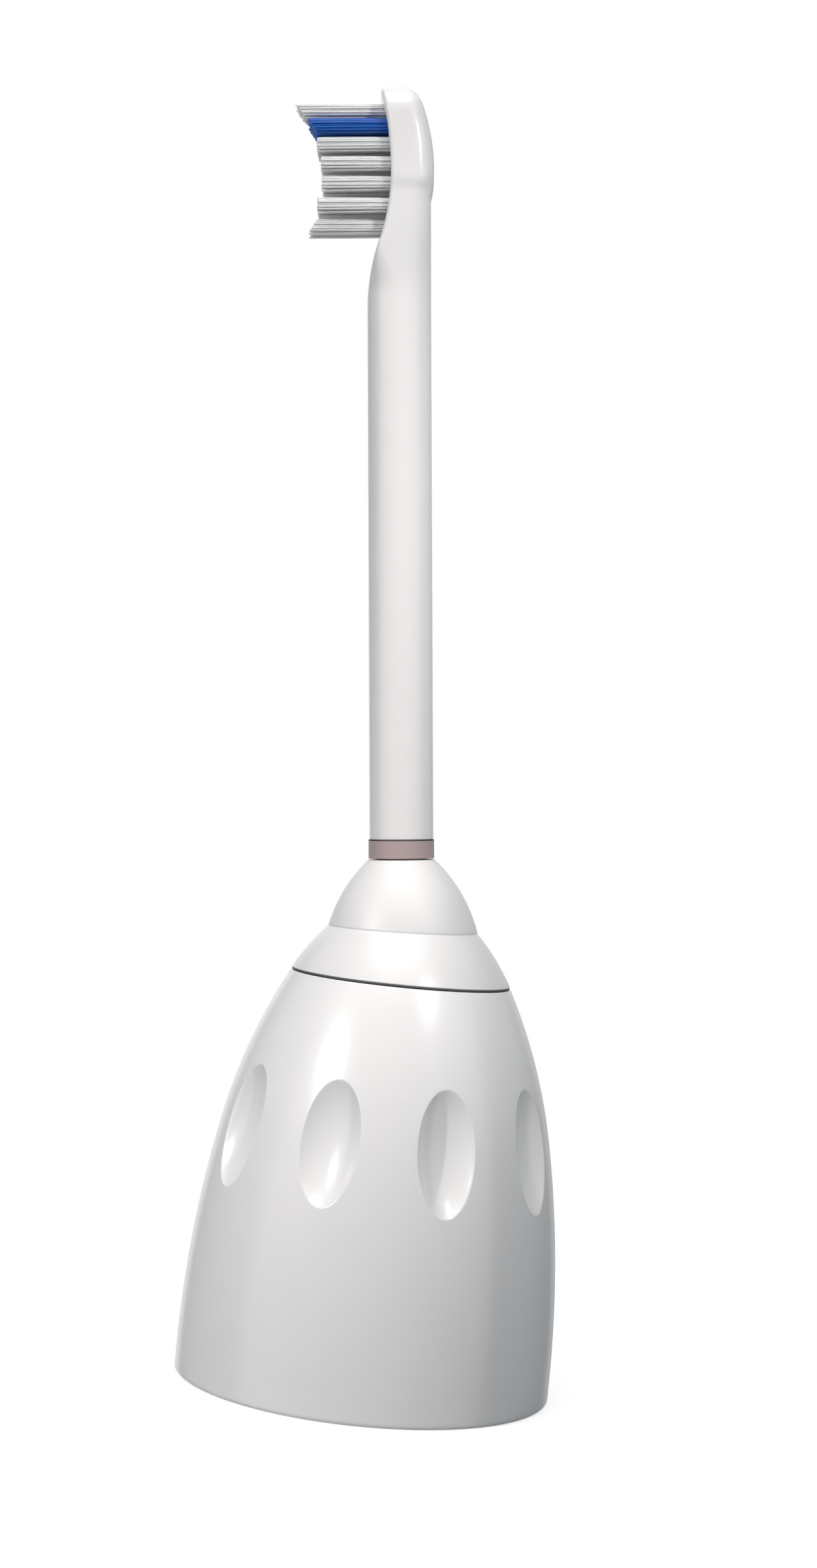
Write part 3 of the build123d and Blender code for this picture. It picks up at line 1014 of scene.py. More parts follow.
    @staticmethod
    def ring_tree() -> GeometryGraph:
        """Makes the node tree that repeats a panel round the axis.

        Returns:
            The tree.
        """
        kinds = {"Panel": bpy.types.Object, "Count": int, "Start": float, "Weld": float}
        graph = GeometryGraph("panel_ring", kinds)
        given = graph.inputs
        panel = graph.wire("GeometryNodeObjectInfo", None, {"Object": given["Panel"]}, "Geometry")
        line = {"Count": given["Count"], "Offset": (0, 0, 0)}
        places = graph.wire("GeometryNodeMeshLine", None, line)
        number = graph.wire("GeometryNodeInputIndex")
        turn = given["Start"] + number * (2 * math.pi) / given["Count"]
        copies = {"Points": places, "Instance": panel, "Rotation": graph.vector(z=turn)}
        ring = graph.wire("GeometryNodeInstanceOnPoints", None, copies)
        ring = graph.wire("GeometryNodeRealizeInstances", None, {"Geometry": ring})
        weld = {"Geometry": ring, "Distance": given["Weld"]}
        graph.end(graph.wire("GeometryNodeMergeByDistance", None, weld))
        return graph

    def build(self) -> None:
        """Makes the nut."""
        panel = self.panel()
        values = {
            "Panel": panel,
            "Count": self.dimple_count,
            "Start": math.radians(self.dimple_start),
            "Weld": self.weld * MM,
            "Material": NUT_GLOSS.material,
        }
        nut = self.ring_tree().grow("grip_nut_shell", values)
        bpy.data.objects.remove(panel)
        dress(nut, NUT_GLOSS, Body.NUT, ["grip_nut"])


@dataclass
class NutThread:
    """Thread ridge in the nut's bore, a spiral with a blunt section and tapered ends."""

    nut: GripNut
    ridge: float = 0.7
    root_width: float = 1.5
    crest_width: float = 0.7
    pitch: float = 3.2
    turns: float = 2.4
    start: float = 1.6
    sunk: float = 0.15
    steps: int = 72
    taper_share: float = 0.125
    end_scale: float = 0.08

    def tree(self) -> GeometryGraph:
        """Makes the node tree of the spiral ridge.

        Returns:
            The tree.
        """
        sizes = ["Radius", "Turns", "Rise", "Ridge", "Root", "Crest", "Start"]
        graph = GeometryGraph("spiral_ridge", dict.fromkeys(sizes, float))
        given = graph.inputs
        path = {"Resolution": self.steps, "Rotations": given["Turns"], "Height": given["Rise"]}
        path |= {"Start Radius": given["Radius"], "End Radius": given["Radius"]}
        spiral = graph.wire("GeometryNodeCurveSpiral", None, path)
        along = graph.wire("GeometryNodeSplineParameter", None, None, "Factor")
        from_end = along.at_most(1 - along) / self.taper_share
        taper = from_end.at_most(1.0).at_least(self.end_scale)
        section = {"Height": given["Ridge"], "Bottom Width": given["Root"], "Top Width": given["Crest"]}
        section["Offset"] = 0.0
        profile = graph.wire("GeometryNodeCurvePrimitiveQuadrilateral", {"mode": "TRAPEZOID"}, section)
        sweep = {"Curve": spiral, "Profile Curve": profile, "Scale": taper, "Fill Caps": True}
        ridge = graph.wire("GeometryNodeCurveToMesh", None, sweep)
        lift = {"Geometry": ridge, "Translation": graph.vector(z=given["Start"])}
        graph.end(graph.wire("GeometryNodeTransform", None, lift))
        return graph

    def build(self) -> None:
        """Makes the ridge."""
        values = {
            "Radius": (self.nut.bore_radius + self.sunk - self.ridge / 2) * MM,
            "Turns": self.turns,
            "Rise": self.turns * self.pitch * MM,
            "Ridge": self.ridge * MM,
            "Root": self.root_width * MM,
            "Crest": self.crest_width * MM,
            "Start": self.start * MM,
            "Material": NUT_GLOSS.material,
        }
        dress(self.tree().grow("nut_thread_ridge", values), NUT_GLOSS, Body.NUT)


@dataclass
class Collar:
    """Conical collar above the seam."""

    bell: Bell
    seam_gap: float = 0.18
    edge_inset: float = 0.05
    top_radius: float = 4.75
    height: float = 4.97
    lean: float = 28.8
    throat_radius: float = 4.15
    spigot_radius: float = 5.9
    spigot_height: float = 1.8
    edge_round: float = 0.07
    columns: int = 216
    flank_rows: int = 24
    flank_samples: int = 96

    @property
    def bottom(self) -> float:
        """Height of the lower edge."""
        return self.bell.height + self.seam_gap

    def flank(self, steps: int) -> np.ndarray:
        """Outer cone, upwards.

        Args:
            steps: Number of equal steps.

        Returns:
            Points of (radius, height).
        """
        start = (self.bell.top_radius - self.edge_inset, self.bottom)
        end = (self.top_radius, self.bottom + self.height)
        lean = math.radians(self.lean)
        return tangent_arc(start, end, (-math.sin(lean), math.cos(lean)), steps)

    def flank_radius(self, height: np.ndarray) -> np.ndarray:
        """Radius of the outer cone at a height."""
        points = self.flank(self.flank_samples)
        return np.interp(height, points[:, 1], points[:, 0])

    def build(self) -> None:
        """Makes the collar."""
        low, *flank, high = self.flank(self.flank_rows)
        socket_top = self.bell.height + self.spigot_height
        corners = [
            (*low, self.edge_round),
            *plain(flank),
            (*high, self.edge_round),
            (self.throat_radius, high[1], self.edge_round),
            (self.throat_radius, socket_top, 0.0),
            (self.spigot_radius, socket_top, 0.0),
            (self.spigot_radius, self.bottom, self.edge_round),
        ]
        skin = Skin()
        skin.add_grid(spin(rounded(corners, closed=True), full_turn(self.columns)), True, True)
        dress(skin.mesh_object("collar_shell"), COLLAR_GLOSS, Body.CORE, ["collar_cap"])


@dataclass(frozen=True)
class ArmFrame:
    """Leaning frame of the brush arm: reach towards the bristles, side across it and height along it."""

    bend_height: float = 33.26
    lean: float = 5.9

    @cached_property
    def axes(self) -> np.ndarray:
        """Directions of reach, side and height, one in each row."""
        lean = math.radians(self.lean)
        across, down = math.cos(lean), math.sin(lean)
        return np.array([[-across, 0, -down], [0, 1, 0], [-down, 0, across]])

    def place(self, reach: np.ndarray, side: np.ndarray, height: np.ndarray) -> np.ndarray:
        """Points in the object's frame."""
        local = np.stack(np.broadcast_arrays(reach, side, height), axis=-1)
        return local @ self.axes + np.array([0, 0, self.bend_height])

    def spin(self, profile: np.ndarray, angles: np.ndarray) -> np.ndarray:
        """Turns a profile of (radius, height) about the arm."""
        grid = spin(profile, angles)
        return self.place(grid[..., 0], grid[..., 1], grid[..., 2])

    def matrix(self, height: float) -> Matrix:
        """Puts a mesh at a height on the arm.

        Args:
            height: Height along the arm.

        Returns:
            The matrix for a mesh in metres, with x across, y up the arm and z towards the bristles.
        """
        reach, side, up = (Vector(axis) for axis in self.axes)
        origin = Vector((0, 0, self.bend_height * MM)) + up * height * MM
        return Matrix.Translation(origin) @ Matrix((side, up, reach)).transposed().to_4x4()


@dataclass
class SealBoot:
    """Soft dome whose skirt lies on the collar and whose lip stands round the shank."""

    arm: ArmFrame
    collar: Collar
    base_radius: float = 6.42
    top_radius: float = 2.66
    height: float = 8.75
    wall: float = 0.9
    bore_radius: float = 2.08
    lip: float = 1.1
    lip_round: float = 0.08
    top_margin: float = 0.1
    edge_round: float = 0.12
    skirt_limit: float = 0.8
    columns: int = 192
    rows: int = 44
    inner_rows: int = 12

    def dome(self, height: np.ndarray | float, inset: float = 0.0) -> np.ndarray:
        """Radius of the dome.

        Args:
            height: Heights along the arm.
            inset: How far the face is moved inwards.

        Returns:
            The radius at each height.
        """
        width = self.base_radius - self.top_radius
        curve = (width**2 + self.height**2) / (2 * width)
        return self.base_radius - curve + np.sqrt((curve - inset) ** 2 - height**2)

    def face(self, angles: np.ndarray, height: np.ndarray, inset: float) -> np.ndarray:
        """Points of the dome at angles and heights, moved inwards by inset."""
        radius = self.dome(height, inset)
        return self.arm.place(radius * np.cos(angles), radius * np.sin(angles), height)

    def skirt(self, angles: np.ndarray, inset: float) -> np.ndarray:
        """Finds where the dome meets the collar.

        Args:
            angles: Angles about the arm.
            inset: How far the dome's face is moved inwards.

        Returns:
            The height along the arm at each angle.
        """

        def in_collar(height: np.ndarray) -> np.ndarray:
            """Whether the dome at a height lies inside the collar's cone."""
            points = self.face(angles, height, inset)
            return np.hypot(points[:, 0], points[:, 1]) < self.collar.flank_radius(points[:, 2])

        limit = np.full(angles.shape, self.skirt_limit * self.height)
        return last_inside(np.zeros(angles.shape), limit, in_collar)

    def side(self, angles: np.ndarray, start: np.ndarray, end: float, inset: float, steps: int) -> np.ndarray:
        """Grid of the dome's face from a start at each angle up to one height."""
        share = np.linspace(0, 1, steps + 1)[:, None]
        return self.face(angles, start + share * (end - start), inset)

    def build(self) -> None:
        """Makes the boot."""
        angles = full_turn(self.columns)
        outer_start, inner_start = self.skirt(angles, 0.0), self.skirt(angles, self.wall)
        side_top, lip_bottom = self.height - self.top_margin, self.height - self.lip
        outer = self.side(angles, outer_start + self.edge_round, side_top, 0.0, self.rows)
        edge = self.face(angles, outer_start, self.edge_round / 2)[None]
        inner = self.side(angles, inner_start, lip_bottom, self.wall, self.inner_rows)[::-1]
        corners = [
            (self.dome(side_top), side_top, 0.0),
            (self.top_radius, self.height, self.lip_round),
            (self.bore_radius, self.height, self.lip_round),
            (self.bore_radius, lip_bottom, self.lip_round),
            (self.dome(lip_bottom, self.wall), lip_bottom, 0.0),
        ]
        lip = self.arm.spin(rounded(corners, closed=False), angles)
        skin = Skin()
        skin.add_grid(np.concatenate([edge, outer, lip[1:-1], inner]), True, True)
        dress(skin.mesh_object("seal_boot_skin"), BOOT_SOFT, Body.CORE, ["seal_boot"])


@dataclass
class IdRing:
    """Coloured ring under the shoulder of the neck, with a thin line of painted shade at each end."""

    arm: ArmFrame
    bottom: float = 8.85
    top: float = 10.37
    radius: float = 2.64
    bore_radius: float = 1.9
    edge: float = 0.04
    painted_shade_bottom: float = 0.03
    painted_shade_top: float = 0.09
    columns: int = 144

    def build(self) -> None:
        """Makes the ring."""
        corners = [
            (self.bore_radius, self.bottom, 0.0),
            (self.radius, self.bottom, self.edge),
            (self.radius, self.top, self.edge),
            (self.bore_radius, self.top, 0.0),
        ]
        skin = Skin()
        skin.add_grid(self.arm.spin(rounded(corners, closed=True), full_turn(self.columns)), True, True)
        # The bands below low and above high get painted shade, which darkens the gaps beside the ring.
        low, high = self.bottom + self.painted_shade_bottom, self.top - self.painted_shade_top
        middle, axis = self.arm.place(0.0, 0.0, (low + high) / 2), self.arm.axes[2]
        finish = replace(RING_SATIN, middle=tuple(middle), axis=tuple(axis), half_band=(high - low) / 2)
        dress(skin.mesh_object("id_ring_band"), finish, Body.BRUSH, ["id_ring"])


@dataclass
class TuftRow:
    """One row of tufts: its drop below the head's top, the reach of its tips and its tufts across.

    The tips slope from one reach at the row's lower edge to another at its upper edge.
    """

    drop: float
    low_reach: float
    high_reach: float
    columns: int
    finish: Finish = NYLON_WHITE
    slot: str = "tuft_white"


TUFT_ROWS = [
    TuftRow(1.81, 7.45, 8.23, 2),
    TuftRow(3.17, 6.50, 7.27, 3, NYLON_BLUE, "tuft_blue"),
    TuftRow(4.63, 6.47, 6.47, 3),
    TuftRow(6.17, 6.17, 6.17, 3),
    TuftRow(7.76, 6.11, 6.11, 3),
    TuftRow(9.48, 6.47, 6.47, 3),
    TuftRow(11.03, 7.25, 6.50, 2),
]


@dataclass
class BrushArm:
    """Shank, round neck and head in one moulding; drops are measured down from the head's top.

    The front joins an upper and a lower arc at their lowest reach, and an arc that runs out into the neck.
    Margins set where one band of rows ends and the next begins.
    """

    arm: ArmFrame
    length: float = 70.45
    neck_radius: float = 2.57
    shank_radius: float = 1.9
    shank_depth: float = 4.4
    shank_end_round: float = 0.2
    shoulder: float = 10.38
    shoulder_edge: float = 0.04
    head_half_width: float = 3.2
    head_length: float = 9.2
    top_corner: float = 2.4
    low_corner: float = 1.8
    front_round: float = 0.4
    front_run: float = 3.0
    back_round: float = 1.5
    crown_round: float = 1.0
    crown_run: float = 2.5
    crest_drop: float = 6.75
    crest_depth: float = 2.84
    back_top_depth: float = 1.36
    heel_drop: float = 8.89
    heel_depth: float = 2.5
    heel_round: float = 2.2
    stalk_half_width: float = 3.06
    stalk_drop: float = 16.49
    stalk_front_round: float = 0.55
    joint_drop: float = 12.59
    joint_reach: float = 1.64
    low_drop: float = 6.95
    low_reach: float = 0.6
    top_reach: float = 1.49
    run_out: float = 0.05
    line_soft: float = 0.12
    width_soft: float = 0.2
    hole_radius: float = 0.63
    hole_depth: float = 0.5
    hole_cut: float = 3.0
    hole_sides: int = 32
    column_pitch: float = 1.6
    long_arc_steps: int = 40
    lower_arc_steps: int = 30
    run_out_steps: int = 20
    heel_steps: int = 12
    neck_margin: float = 1.0
    stalk_margin: float = 0.8
    heel_margin: float = 0.5
    head_margin: float = 0.35
    neck_rows: int = 24
    stalk_rows: int = 44
    head_rows: int = 44
    corner_rows: int = 24
    top_rows: int = 4
    round_columns: int = 12
    wall_columns: int = 8
    flat_columns: int = 12
    shank_columns: int = 96

    @cached_property
    def front_line(self) -> np.ndarray:
        """Front of the arm, from the head's top down to the neck.

        Returns:
            Points of (drop, reach).
        """
        low, joint = (self.low_drop, self.low_reach), (self.joint_drop, self.joint_reach)
        upper = tangent_arc(low, (0, self.top_reach), (-1, 0), self.long_arc_steps)[::-1]
        lower = tangent_arc(low, joint, (1, 0), self.lower_arc_steps)
        half_turn = math.atan2(self.joint_reach - self.low_reach, self.joint_drop - self.low_drop)
        reach = self.neck_radius + self.run_out
        drop = self.joint_drop + (reach - self.joint_reach) / math.tan(half_turn)
        slope = (math.cos(2 * half_turn), math.sin(2 * half_turn))
        run_out = tangent_arc(joint, (drop, reach), slope, self.run_out_steps)
        return np.vstack([upper, lower[1:], run_out[1:]])

    @cached_property
    def back_line(self) -> np.ndarray:
        """Back of the head, from its top down to the heel.

        Returns:
            Points of (drop, depth).
        """
        crest = (self.crest_drop, self.crest_depth)
        crown = tangent_arc(crest, (0, self.back_top_depth), (-1, 0), self.long_arc_steps)[::-1]
        heel = tangent_arc(crest, (self.heel_drop, self.heel_depth), (1, 0), self.heel_steps)
        return np.vstack([crown, heel[1:]])

    def front(self, drop: np.ndarray) -> np.ndarray:
        """Reach of the front at a drop."""
        line = np.interp(drop, self.front_line[:, 0], self.front_line[:, 1])
        return -soft_max(-line, np.full(line.shape, -self.neck_radius), self.line_soft)

    def back(self, drop: np.ndarray) -> np.ndarray:
        """Reach of the back, below zero.

        Args:
            drop: Drops from the head's top.

        Returns:
            The reach at each drop.
        """
        line = np.interp(drop, self.back_line[:, 0], self.back_line[:, 1])
        neck = np.where(drop > self.crest_drop, self.neck_radius, 0.0)
        return -soft_max(line, neck, self.line_soft)

    def half_width(self, drop: np.ndarray) -> np.ndarray:
        """Half width, up to where the top corners begin.

        Args:
            drop: Drops from the head's top.

        Returns:
            The half width at each drop.
        """
        stalk = ease((self.stalk_drop - drop) / (self.stalk_drop - self.heel_drop))
        stalk = self.neck_radius + (self.stalk_half_width - self.neck_radius) * stalk
        below = np.clip(drop - self.head_length + self.low_corner, 0, self.low_corner)
        head = self.head_half_width - self.low_corner + np.sqrt(self.low_corner**2 - below**2)
        return soft_max(stalk, head, self.width_soft)

    def rounds(self, drop: np.ndarray, width: np.ndarray) -> tuple[np.ndarray, np.ndarray]:
        """Radii of the section's corners.

        Args:
            drop: Drops from the head's top.
            width: Half width at each drop.

        Returns:
            Radius of the front corners and of the back corners at each drop.
        """
        heel = ease((drop - self.head_length + self.low_corner) / (2 * self.low_corner))
        low = ease((drop - self.joint_drop) / (self.stalk_drop - self.joint_drop))
        stalk = ease((drop - self.heel_drop) / (self.stalk_drop - self.heel_drop))
        scoop = ease((drop - self.low_drop) / self.front_run)
        front = self.front_round + (self.stalk_front_round - self.front_round) * scoop
        front = front + (self.neck_radius - front) * low
        back = self.crown_round + (self.back_round - self.crown_round) * ease(drop / self.crown_run)
        back = back + (self.heel_round - back) * heel
        back = back + (self.neck_radius - back) * stalk
        room = np.minimum(width, (self.front(drop) - self.back(drop)) / 2)
        return np.minimum(front, room), np.minimum(back, room)

    def outline(self) -> tuple[np.ndarray, np.ndarray, np.ndarray, np.ndarray]:
        """Half of the plan outline, up one side to the middle of the top.

        Returns:
            Side and drop of each point, and the side and drop of the way inwards there.
        """
        neck_end = self.length - self.shoulder - self.shoulder_edge
        bands = [
            (neck_end, self.stalk_drop + self.neck_margin, self.neck_rows),
            (self.stalk_drop + self.stalk_margin, self.head_length + self.heel_margin, self.stalk_rows),
            (self.head_length + self.head_margin, self.top_corner, self.head_rows),
        ]
        straight = np.concatenate([np.linspace(*band) for band in bands])
        turn = np.linspace(0, math.pi / 2, self.corner_rows + 1)[1:]
        corner = self.head_half_width - self.top_corner
        flat = np.linspace(corner, 0, self.top_rows + 1)[1:]
        none, whole = np.zeros(flat.shape), np.ones(flat.shape)
        side = np.concatenate([self.half_width(straight), corner + self.top_corner * np.cos(turn), flat])
        drop = np.concatenate([straight, self.top_corner * (1 - np.sin(turn)), none])
        inward_side = np.concatenate([np.full(straight.shape, -1.0), -np.cos(turn), none])
        inward_drop = np.concatenate([np.zeros(straight.shape), np.sin(turn), whole])
        return side, drop, inward_side, inward_drop

    def section_grid(self) -> np.ndarray:
        """Half of the moulding's skin.

        Returns:
            Grid of (reach, side, drop), with a row for each outline point and columns from front to back.
        """
        side, drop, inward_side, inward_drop = self.outline()
        front_round, back_round = self.rounds(drop, self.half_width(np.maximum(drop, self.top_corner)))
        turn = np.linspace(0, math.pi / 2, self.round_columns + 1)

        def round_column(
            face: Callable[[np.ndarray], np.ndarray], radius: np.ndarray, angle: float
        ) -> tuple[np.ndarray, np.ndarray, np.ndarray]:
            """One column along a rounded edge.

            Args:
                face: Reach of the front or the back at a drop.
                radius: Radius of the edge at each outline point, below zero for the back.
                angle: Place on the round: zero at the face, a right angle at the wall.

            Returns:
                Reach, side and drop of the column's points.
            """
            inset = np.abs(radius) * (1 - math.sin(angle))
            at = drop + inward_drop * inset
            return face(at) - radius * (1 - math.cos(angle)), side + inward_side * inset, at

        wall_top, wall_bottom = self.front(drop) - front_round, self.back(drop) + back_round
        shares = np.linspace(0, 1, self.wall_columns + 1)[1:-1]
        sheet = [round_column(self.front, front_round, angle) for angle in turn]
        sheet += [(wall_top + share * (wall_bottom - wall_top), side, drop) for share in shares]
        sheet += [round_column(self.back, -back_round, angle) for angle in turn[::-1]]
        return np.array(sheet).transpose(2, 0, 1)

    def build(self) -> None:
        """Makes the arm."""
        grid = self.section_grid()
        half = self.arm.place(grid[..., 0], grid[..., 1], self.length - grid[..., 2])
        mirror = half * np.array([1, -1, 1])
        skin = Skin()
        skin.add_grid(np.hstack([half, mirror[:, ::-1]]))
        across = np.linspace(0, 1, self.flat_columns + 1)[None, :, None]
        for column in (0, -1):
            edge, other = half[:, column][:, None], mirror[:, column][:, None]
            skin.add_grid(edge + across * (other - edge))
        self.add_shank(skin)
        arm = skin.mesh_object("brush_arm_moulding")
        self.cut_holes(arm)
        dress(arm, ARM_GLOSS, Body.BRUSH, ["brush_arm"])

    def add_shank(self, skin: Skin) -> None:
        """Adds the shoulder and the thin shank below it.

        Args:
            skin: Where they are added.
        """
        corners = [
            (0.0, -self.shank_depth, 0.0),
            (self.shank_radius, -self.shank_depth, self.shank_end_round),
            (self.shank_radius, self.shoulder, 0.0),
            (self.neck_radius - self.shoulder_edge, self.shoulder, 0.0),
            (self.neck_radius, self.shoulder + self.shoulder_edge, 0.0),
        ]
        profile = rounded(corners, closed=False)
        skin.add_grid(self.arm.spin(profile, full_turn(self.shank_columns)), close_columns=True)

    def cut_holes(self, arm: bpy.types.Object) -> None:
        """Sinks a shallow hole for each tuft into the platform.

        Args:
            arm: The arm, before the holes.
        """
        ring = full_turn(self.hole_sides)
        around, along = self.hole_radius * np.cos(ring), self.hole_radius * np.sin(ring)
        skin = Skin()
        for row in TUFT_ROWS:
            floor = float(self.front(np.array([row.drop]))[0]) - self.hole_depth
            height = self.length - row.drop + along
            for column in range(row.columns):
                side = self.column_pitch * (column - (row.columns - 1) / 2) + around
                ends = [self.arm.place(reach, side, height) for reach in (floor, floor + self.hole_cut)]
                skin.add_grid(np.stack(ends), close_columns=True)
                for end in ends:
                    skin.add_fan(end, end.mean(axis=0))
        cutter = skin.mesh_object("tuft_hole_cutter")
        modifier = arm.modifiers.new("holes", "BOOLEAN")
        modifier.object = cutter
        modifier.solver = "EXACT"
        bake_modifiers(arm)
        bpy.data.objects.remove(cutter)
        tidy_mesh(arm.data)


@dataclass
class Bristles:
    """Tufts of nylon filaments that stand in the head's holes."""

    head: BrushArm
    tuft_radius: float = 0.6
    level_pitch: float = 0.17
    levels: int = 7
    filament_radius: float = 0.078
    filament_sides: int = 8
    stem_points: int = 10
    tip_crowding: float = 4.0
    tip_fullness: float = 1.02
    root_reach: float = 0.1
    root_squeeze: float = 0.9
    squeeze_fade: float = 3.0
    tip_scatter: float = 0.05
    sway: float = 0.03
    seed: int = 7
    sizes: tuple[str, ...] = (
        "Tuft Pitch",
        "Level Pitch",
        "Tuft Radius",
        "Filament Radius",
        "Root",
        "Low Reach",
        "High Reach",
        "Squeeze",
        "Scatter",
        "Sway",
    )

    def tree(self) -> GeometryGraph:
        """Makes the node tree of one row: packed roots, copied to each tuft, each grown into a filament.

        Returns:
            The tree.
        """
        kinds = {"Tufts": int, "Levels": int, "Seed": int, **dict.fromkeys(self.sizes, float)}
        graph = GeometryGraph("tuft_row", kinds)
        given = graph.inputs
        roots = self.packed_roots(graph)
        start = graph.vector(x=given["Tuft Pitch"] * (1 - given["Tufts"]) / 2)
        step = graph.vector(x=given["Tuft Pitch"])
        line = {"Count": given["Tufts"], "Start Location": start, "Offset": step}
        tufts = graph.wire("GeometryNodeMeshLine", None, line)
        tufts = graph.wire("GeometryNodeInstanceOnPoints", None, {"Points": tufts, "Instance": roots})
        tufts = graph.wire("GeometryNodeRealizeInstances", None, {"Geometry": tufts})
        points = graph.wire("GeometryNodeMeshToPoints", None, {"Mesh": tufts})
        for salt, name in enumerate(("length_draw", "sway_draw")):
            draw = {0: (-1, -1, -1), 1: (1, 1, 1), "Seed": given["Seed"] + salt}
            value = graph.wire("FunctionNodeRandomValue", {"data_type": "FLOAT_VECTOR"}, draw)
            points = self.store(graph, points, name, value)
        stem = graph.wire("GeometryNodeCurvePrimitiveLine", None, {"End": (0, 0, 1)})
        stem = graph.wire("GeometryNodeResampleCurve", None, {"Curve": stem, "Count": self.stem_points})
        stems = graph.wire("GeometryNodeInstanceOnPoints", None, {"Points": points, "Instance": stem})
        stems = graph.wire("GeometryNodeRealizeInstances", None, {"Geometry": stems})
        graph.end(self.grown(graph, stems))
        return graph

    @staticmethod
    def store(graph: GeometryGraph, geometry: Wire, name: str, value: Wire) -> Wire:
        """Keeps a vector on each point under a name."""
        kept = {"Geometry": geometry, "Name": name, "Value": value}
        return graph.wire("GeometryNodeStoreNamedAttribute", {"data_type": "FLOAT_VECTOR"}, kept)

    @staticmethod
    def recall(graph: GeometryGraph, name: str) -> tuple[Wire, Wire, Wire]:
        """Reads back a kept vector as three values."""
        kind, named = {"data_type": "FLOAT_VECTOR"}, {"Name": name}
        return graph.parts(graph.wire("GeometryNodeInputNamedAttribute", kind, named, "Attribute"))

    def packed_roots(self, graph: GeometryGraph) -> Wire:
        """Roots of one tuft, close packed in staggered levels inside a circle.

        Args:
            graph: The row's node tree.

        Returns:
            The roots, each with its place kept as its spread.
        """
        given = graph.inputs
        across = given["Level Pitch"] / math.cos(math.radians(30))
        field_size = {
            "Size X": across * (given["Levels"] + 1),
            "Size Y": given["Level Pitch"] * (given["Levels"] - 1),
            "Vertices X": given["Levels"] + 2,
            "Vertices Y": given["Levels"],
        }
        roots = graph.wire("GeometryNodeMeshGrid", None, field_size)
        _, y, _ = graph.parts(graph.wire("GeometryNodeInputPosition"))
        level = graph.math("ROUND", y / given["Level Pitch"])
        odd = graph.math("FLOORED_MODULO", level, 2.0)
        shift = graph.vector(x=across * odd / 2)
        roots = graph.wire("GeometryNodeSetPosition", None, {"Geometry": roots, "Offset": shift})
        x, y, _ = graph.parts(graph.wire("GeometryNodeInputPosition"))
        limit = given["Tuft Radius"]
        outside = (x * x + y * y) > limit * limit
        roots = graph.wire("GeometryNodeDeleteGeometry", None, {"Geometry": roots, "Selection": outside})
        return self.store(graph, roots, "spread", graph.wire("GeometryNodeInputPosition"))

    def grown(self, graph: GeometryGraph, stems: Wire) -> Wire:
        """Draws each unit stem out to its tip, and gives it a round body and a rounded end.

        Args:
            graph: The row's node tree.
            stems: Upright stems of unit length, one on each root.

        Returns:
            The filaments.
        """
        given = graph.inputs
        x, y, share = graph.parts(graph.wire("GeometryNodeInputPosition"))
        spread_x, spread_y, _ = self.recall(graph, "spread")
        length_draw, _, _ = self.recall(graph, "length_draw")
        sway_x, sway_y, _ = self.recall(graph, "sway_draw")
        left = (1 - share) ** self.tip_crowding
        along = 1 - left
        slope = (given["High Reach"] - given["Low Reach"]) / (2 * given["Tuft Radius"])
        tip = (given["High Reach"] + given["Low Reach"]) / 2 + slope * spread_y
        length = tip + given["Scatter"] * length_draw - given["Root"]
        squeeze = (given["Squeeze"] - 1) * (1 - along) ** self.squeeze_fade
        bend = given["Sway"] * along * along
        place = graph.vector(
            x + spread_x * squeeze + bend * sway_x,
            y + spread_y * squeeze + bend * sway_y,
            given["Root"] + along * length,
        )
        stems = self.store(graph, stems, "to_tip", graph.vector(x=length * left))
        stems = graph.wire("GeometryNodeSetPosition", None, {"Geometry": stems, "Position": place})
        to_tip, _, _ = self.recall(graph, "to_tip")
        cap = (1 - to_tip / given["Filament Radius"]).at_least(0.0)
        thickness = given["Filament Radius"] * (self.tip_fullness - cap * cap) ** 0.5
        ring = {"Resolution": self.filament_sides, "Radius": 1.0}
        profile = graph.wire("GeometryNodeCurvePrimitiveCircle", None, ring)
        sweep = {"Curve": stems, "Profile Curve": profile, "Scale": thickness, "Fill Caps": True}
        return graph.wire("GeometryNodeCurveToMesh", None, sweep)

    def build(self) -> None:
        """Makes every row of tufts."""
        graph = self.tree()
        shared = {
            "Tuft Pitch": self.head.column_pitch * MM,
            "Level Pitch": self.level_pitch * MM,
            "Tuft Radius": (self.tuft_radius - self.filament_radius / 2) * MM,
            "Filament Radius": self.filament_radius * MM,
            "Root": self.root_reach * MM,
            "Squeeze": self.root_squeeze,
            "Scatter": self.tip_scatter * MM,
            "Sway": self.sway * MM,
            "Levels": self.levels,
        }
        for number, row in enumerate(TUFT_ROWS, start=1):
            own = {
                "Low Reach": row.low_reach * MM,
                "High Reach": row.high_reach * MM,
                "Tufts": row.columns,
                "Seed": self.seed * number,
                "Material": row.finish.material,
            }
            piece = graph.grow(f"bristle_row_{number}", {**shared, **own})
            # The arm's frame is left-handed, so the placed faces have to be turned outwards again.
            piece.data.transform(self.head.arm.matrix(self.head.length - row.drop))
            tidy_mesh(piece.data)
            dress(piece, row.finish, Body.BRUSH, [f"tuft_row_{number}"])


